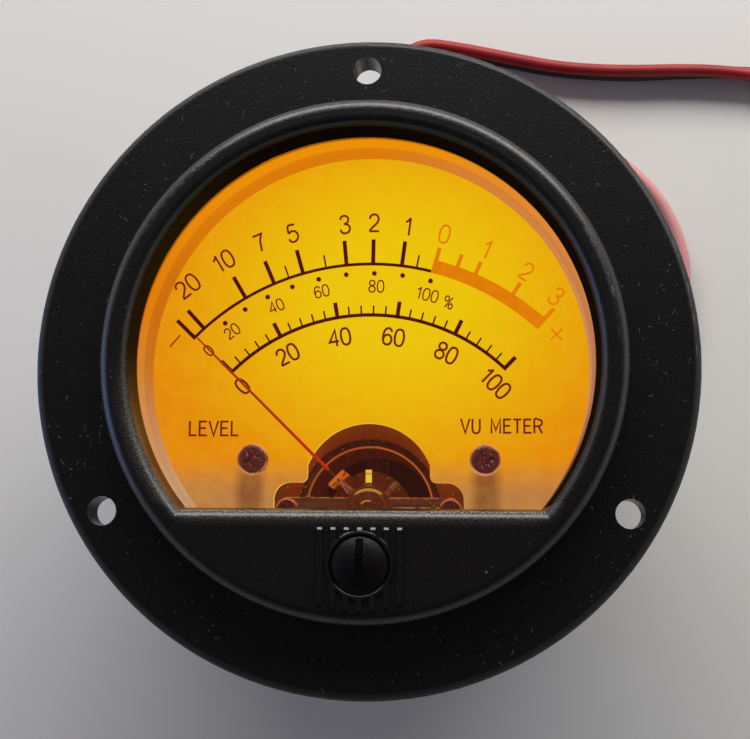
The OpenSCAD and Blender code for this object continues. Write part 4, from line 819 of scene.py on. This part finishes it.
class MeterStageSettings(bpy.types.PropertyGroup):
    floor_size: FloatProperty(
        name="Floor size", description="Edge of the square floor", default=3.0, unit="LENGTH")
    floor_colour: FloatVectorProperty(
        name="Floor colour", description="Pale tone of the floor",
        default=(0.86, 0.845, 0.82), subtype="COLOR")
    key_power: FloatProperty(
        name="Window light", description="Power of the large light beyond the dial's top",
        default=2.3, unit="POWER")
    side_power: FloatProperty(
        name="Cool side light", description="Power of the bluish light at the left",
        default=0.03, unit="POWER")
    zenith_level: FloatProperty(
        name="Light from above", description="Level of the surroundings overhead", default=0.045)
    horizon_level: FloatProperty(
        name="Light from the sides", description="Level of the surroundings near the floor", default=1.0)
    chin_level: FloatProperty(
        name="Light from the chin's side", description="Share of the surroundings' light on that side",
        default=0.38)
    lens: FloatProperty(
        name="Focal length", description="Focal length on a 36 mm wide sensor, in millimetres",
        default=69.557)
    roll: FloatProperty(
        name="Camera roll", description="Turn of the camera about its view, clockwise",
        default=math.radians(-0.45), subtype="ANGLE")


class MeterFinishSettings(bpy.types.PropertyGroup):
    red_wire: FloatVectorProperty(
        name="Red wire", description="Colour of the red insulation",
        default=(0.40, 0.008, 0.012), subtype="COLOR")
    hair_count: IntProperty(
        name="Fibres", description="Number of fine fibres lying on the bezel", default=260, min=0)
    hair_width: FloatProperty(
        name="Fibre thickness", description="Thickness of a fibre", default=0.026 * MM,
        unit="LENGTH", precision=5)


def stage_settings():
    return bpy.context.scene.meter_stage


def finish_settings():
    return bpy.context.scene.meter_finish


FINISH = {}


# ---- operators ----


class MeterCamera(bpy.types.Operator):
    """Camera above the dial, a little below its middle"""
    bl_idname = "meter.camera"
    bl_label = "Camera"

    def execute(self, context):
        data = bpy.data.cameras.new("meter_camera")
        data.lens = stage_settings().lens
        data.sensor_width = 36.0
        data.clip_start = 0.01
        camera = bpy.data.objects.new("meter_camera", data)
        roll = stage_settings().roll
        right = CAMERA_RIGHT * math.cos(roll) + CAMERA_UP * math.sin(roll)
        up = CAMERA_UP * math.cos(roll) - CAMERA_RIGHT * math.sin(roll)
        back = right.cross(up)
        camera.matrix_world = Matrix((
            *((right[i], up[i], back[i], CAMERA_PLACE[i]) for i in range(3)), (0, 0, 0, 1)
        ))
        context.scene.collection.objects.link(camera)
        context.scene.camera = camera
        return {"FINISHED"}


class MeterLead(bpy.types.Operator):
    """Red and black wires of the lead, laid on the table"""
    bl_idname = "meter.lead"
    bl_label = "Lead"

    def execute(self, context):
        for side, name, node, finish in (
            (1, "red_lead", "lead_red", "red_wire"), (-1, "black_lead", "lead_black", "black_wire")
        ):
            points = lead_points(side)
            curve = bpy.data.curves.new(name, "CURVE")
            curve.dimensions = "3D"
            curve.bevel_depth = WIRE_D / 2 * MM
            curve.bevel_resolution = 6
            curve.use_fill_caps = True
            spline = curve.splines.new("POLY")
            fine = smooth_route(points)
            spline.points.add(len(fine) - 1)
            for target, point in zip(spline.points, fine):
                target.co = (*point, 1.0)
            spline.use_smooth = True
            wire = put(bpy.data.objects.new(name, curve), "case", FINISH[finish])
            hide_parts(node)
            wire_length(fine)
        return {"FINISHED"}


class MeterFinishes(bpy.types.Operator):
    """Procedural finish on every solid of the meter"""
    bl_idname = "meter.finishes"
    bl_label = "Finishes"

    def execute(self, context):
        FINISH.update(finishes(finish_settings()))
        for name, finish in NODE_FINISH.items():
            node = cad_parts[name]
            node.data.materials.clear()
            node.data.materials.append(FINISH[finish])
        return {"FINISHED"}


class MeterNumerals(bpy.types.Operator):
    """Numerals and plain words printed on the dial"""
    bl_idname = "meter.numerals"
    bl_label = "Numerals"

    def execute(self, context):
        for name, rows, finish, slot in (
            ("dark_numerals", DARK_TEXT, "numeral_ink", "print_dark"),
            ("orange_numerals", ORANGE_TEXT, "orange_ink", "print_orange"),
            ("minus_sign", MINUS_TEXT, "brown_ink", "print_orange"),
        ):
            lettering(name, rows, FINISH[finish])
        return {"FINISHED"}


class MeterDust(bpy.types.Operator):
    """Fine pale fibres that have settled on the bezel"""
    bl_idname = "meter.dust"
    bl_label = "Dust fibres"

    def execute(self, context):
        settings = finish_settings()
        rng = random.Random(11)
        height = FLANGE_TOP + 0.03 * MM
        steps = 4

        def build(work):
            for _ in range(settings.hair_count):
                radius = rng.uniform(32.2, 38.8) * MM
                turn = rng.uniform(0, 2 * math.pi)
                place = Vector((radius * math.cos(turn), radius * math.sin(turn), height))
                heading = rng.uniform(0, 2 * math.pi)
                bend = rng.uniform(-1.5, 1.5)
                length = rng.choice((0.12, 0.2, 0.3, 0.6)) * rng.uniform(0.7, 1.2) * MM
                rows = []
                for _ in range(steps + 1):
                    along = Vector((math.cos(heading), math.sin(heading), 0))
                    side = Vector((-along.y, along.x, 0)) * settings.hair_width / 2
                    rows.append([work.verts.new(place - side), work.verts.new(place + side)])
                    place = place + along * length / steps
                    heading += bend / steps
                for a, b in zip(rows, rows[1:]):
                    work.faces.new((a[0], b[0], b[1], a[1]))

        put(mesh_from("dust_fibres", build), "case", FINISH["dust"])
        return {"FINISHED"}


def surround(world, settings):
    """Light from all round: pale near the floor, dim overhead and on the side of the chin."""
    tree = world.node_tree
    place = tree.nodes.new("ShaderNodeTexCoord")
    axes = tree.nodes.new("ShaderNodeSeparateXYZ")
    ramp = tree.nodes.new("ShaderNodeValToRGB")
    tree.links.new(place.outputs["Generated"], axes.inputs[0])
    tree.links.new(axes.outputs[2], ramp.inputs["Fac"])
    low, high = settings.horizon_level, settings.zenith_level
    ramp.color_ramp.elements[0].position = 0.25
    ramp.color_ramp.elements[0].color = (low, low * 0.985, low * 0.965, 1.0)
    ramp.color_ramp.elements[1].position = 0.68
    ramp.color_ramp.elements[1].color = (high, high * 0.96, high, 1.0)
    tree.links.new(ramp.outputs["Color"], tree.nodes["Background"].inputs["Color"])
    side = tree.nodes.new("ShaderNodeMapRange")
    side.interpolation_type = "SMOOTHSTEP"
    side.inputs["From Min"].default_value = -0.8
    side.inputs["From Max"].default_value = 0.25
    side.inputs["To Min"].default_value = settings.chin_level
    tree.links.new(axes.outputs[1], side.inputs["Value"])
    tree.links.new(side.outputs[0], tree.nodes["Background"].inputs["Strength"])


class MeterStage(bpy.types.Operator):
    """Pale floor and soft light"""
    bl_idname = "meter.stage"
    bl_label = "Stage"

    def execute(self, context):
        settings = stage_settings()
        half = settings.floor_size / 2

        def build(work):
            corners = ((-half, -half), (half, -half), (half, half), (-half, half))
            work.faces.new([work.verts.new((x, y, 0)) for x, y in corners])

        colour = settings.floor_colour[:]
        p = Paint("pale_floor")
        p.set(base_color=p.blend(p.noise(9.0), colour, [c * 0.96 for c in colour]), roughness=0.7)
        put(mesh_from("pale_floor", build), None, p.material)

        world = bpy.data.worlds.new("room")
        context.scene.world = world
        world.use_nodes = True
        surround(world, settings)
        for name, place, size, power, colour, spread_deg in (
            ("window_light", (0.04, 0.38, 0.25), (0.6, 0.2), settings.key_power, (1.0, 0.985, 0.96), 180.0),
            ("cool_light", (-0.36, -0.02, 0.09), (0.22, 0.16), settings.side_power, (0.03, 0.2, 1.0), 60.0),
        ):
            data = bpy.data.lights.new(name, "AREA")
            data.shape = "RECTANGLE"
            data.size, data.size_y = size
            data.energy = power
            data.color = colour
            data.spread = math.radians(spread_deg)
            lamp = bpy.data.objects.new(name, data)
            lamp.location = place
            lamp.rotation_euler = (LIGHT_AIM - Vector(place)).to_track_quat("-Z", "Y").to_euler()
            context.scene.collection.objects.link(lamp)
        context.scene.view_settings.view_transform = "Standard"
        return {"FINISHED"}


OPERATORS = (MeterCamera, MeterFinishes, MeterLead, MeterNumerals, MeterDust, MeterStage)


class MeterPanel(bpy.types.Panel):
    """Steps that dress the meter"""
    bl_idname = "VIEW3D_PT_meter"
    bl_label = "Panel Meter"
    bl_space_type = "VIEW_3D"
    bl_region_type = "UI"
    bl_category = "Panel Meter"

    def draw(self, context):
        for group in (context.scene.meter_stage, context.scene.meter_finish):
            box = self.layout.box()
            for key in group.__annotations__:
                box.prop(group, key)
        for step in OPERATORS:
            self.layout.operator(step.bl_idname)


CLASSES = (MeterStageSettings, MeterFinishSettings, *OPERATORS, MeterPanel)


def register():
    for item in CLASSES:
        bpy.utils.register_class(item)
    bpy.types.Scene.meter_stage = PointerProperty(type=MeterStageSettings)
    bpy.types.Scene.meter_finish = PointerProperty(type=MeterFinishSettings)


def unregister():
    del bpy.types.Scene.meter_finish
    del bpy.types.Scene.meter_stage
    for item in reversed(CLASSES):
        bpy.utils.unregister_class(item)


def main():
    register()
    for step in OPERATORS:
        group, call = step.bl_idname.split(".")
        getattr(getattr(bpy.ops, group), call)()


if __name__ == "__main__":
    main()
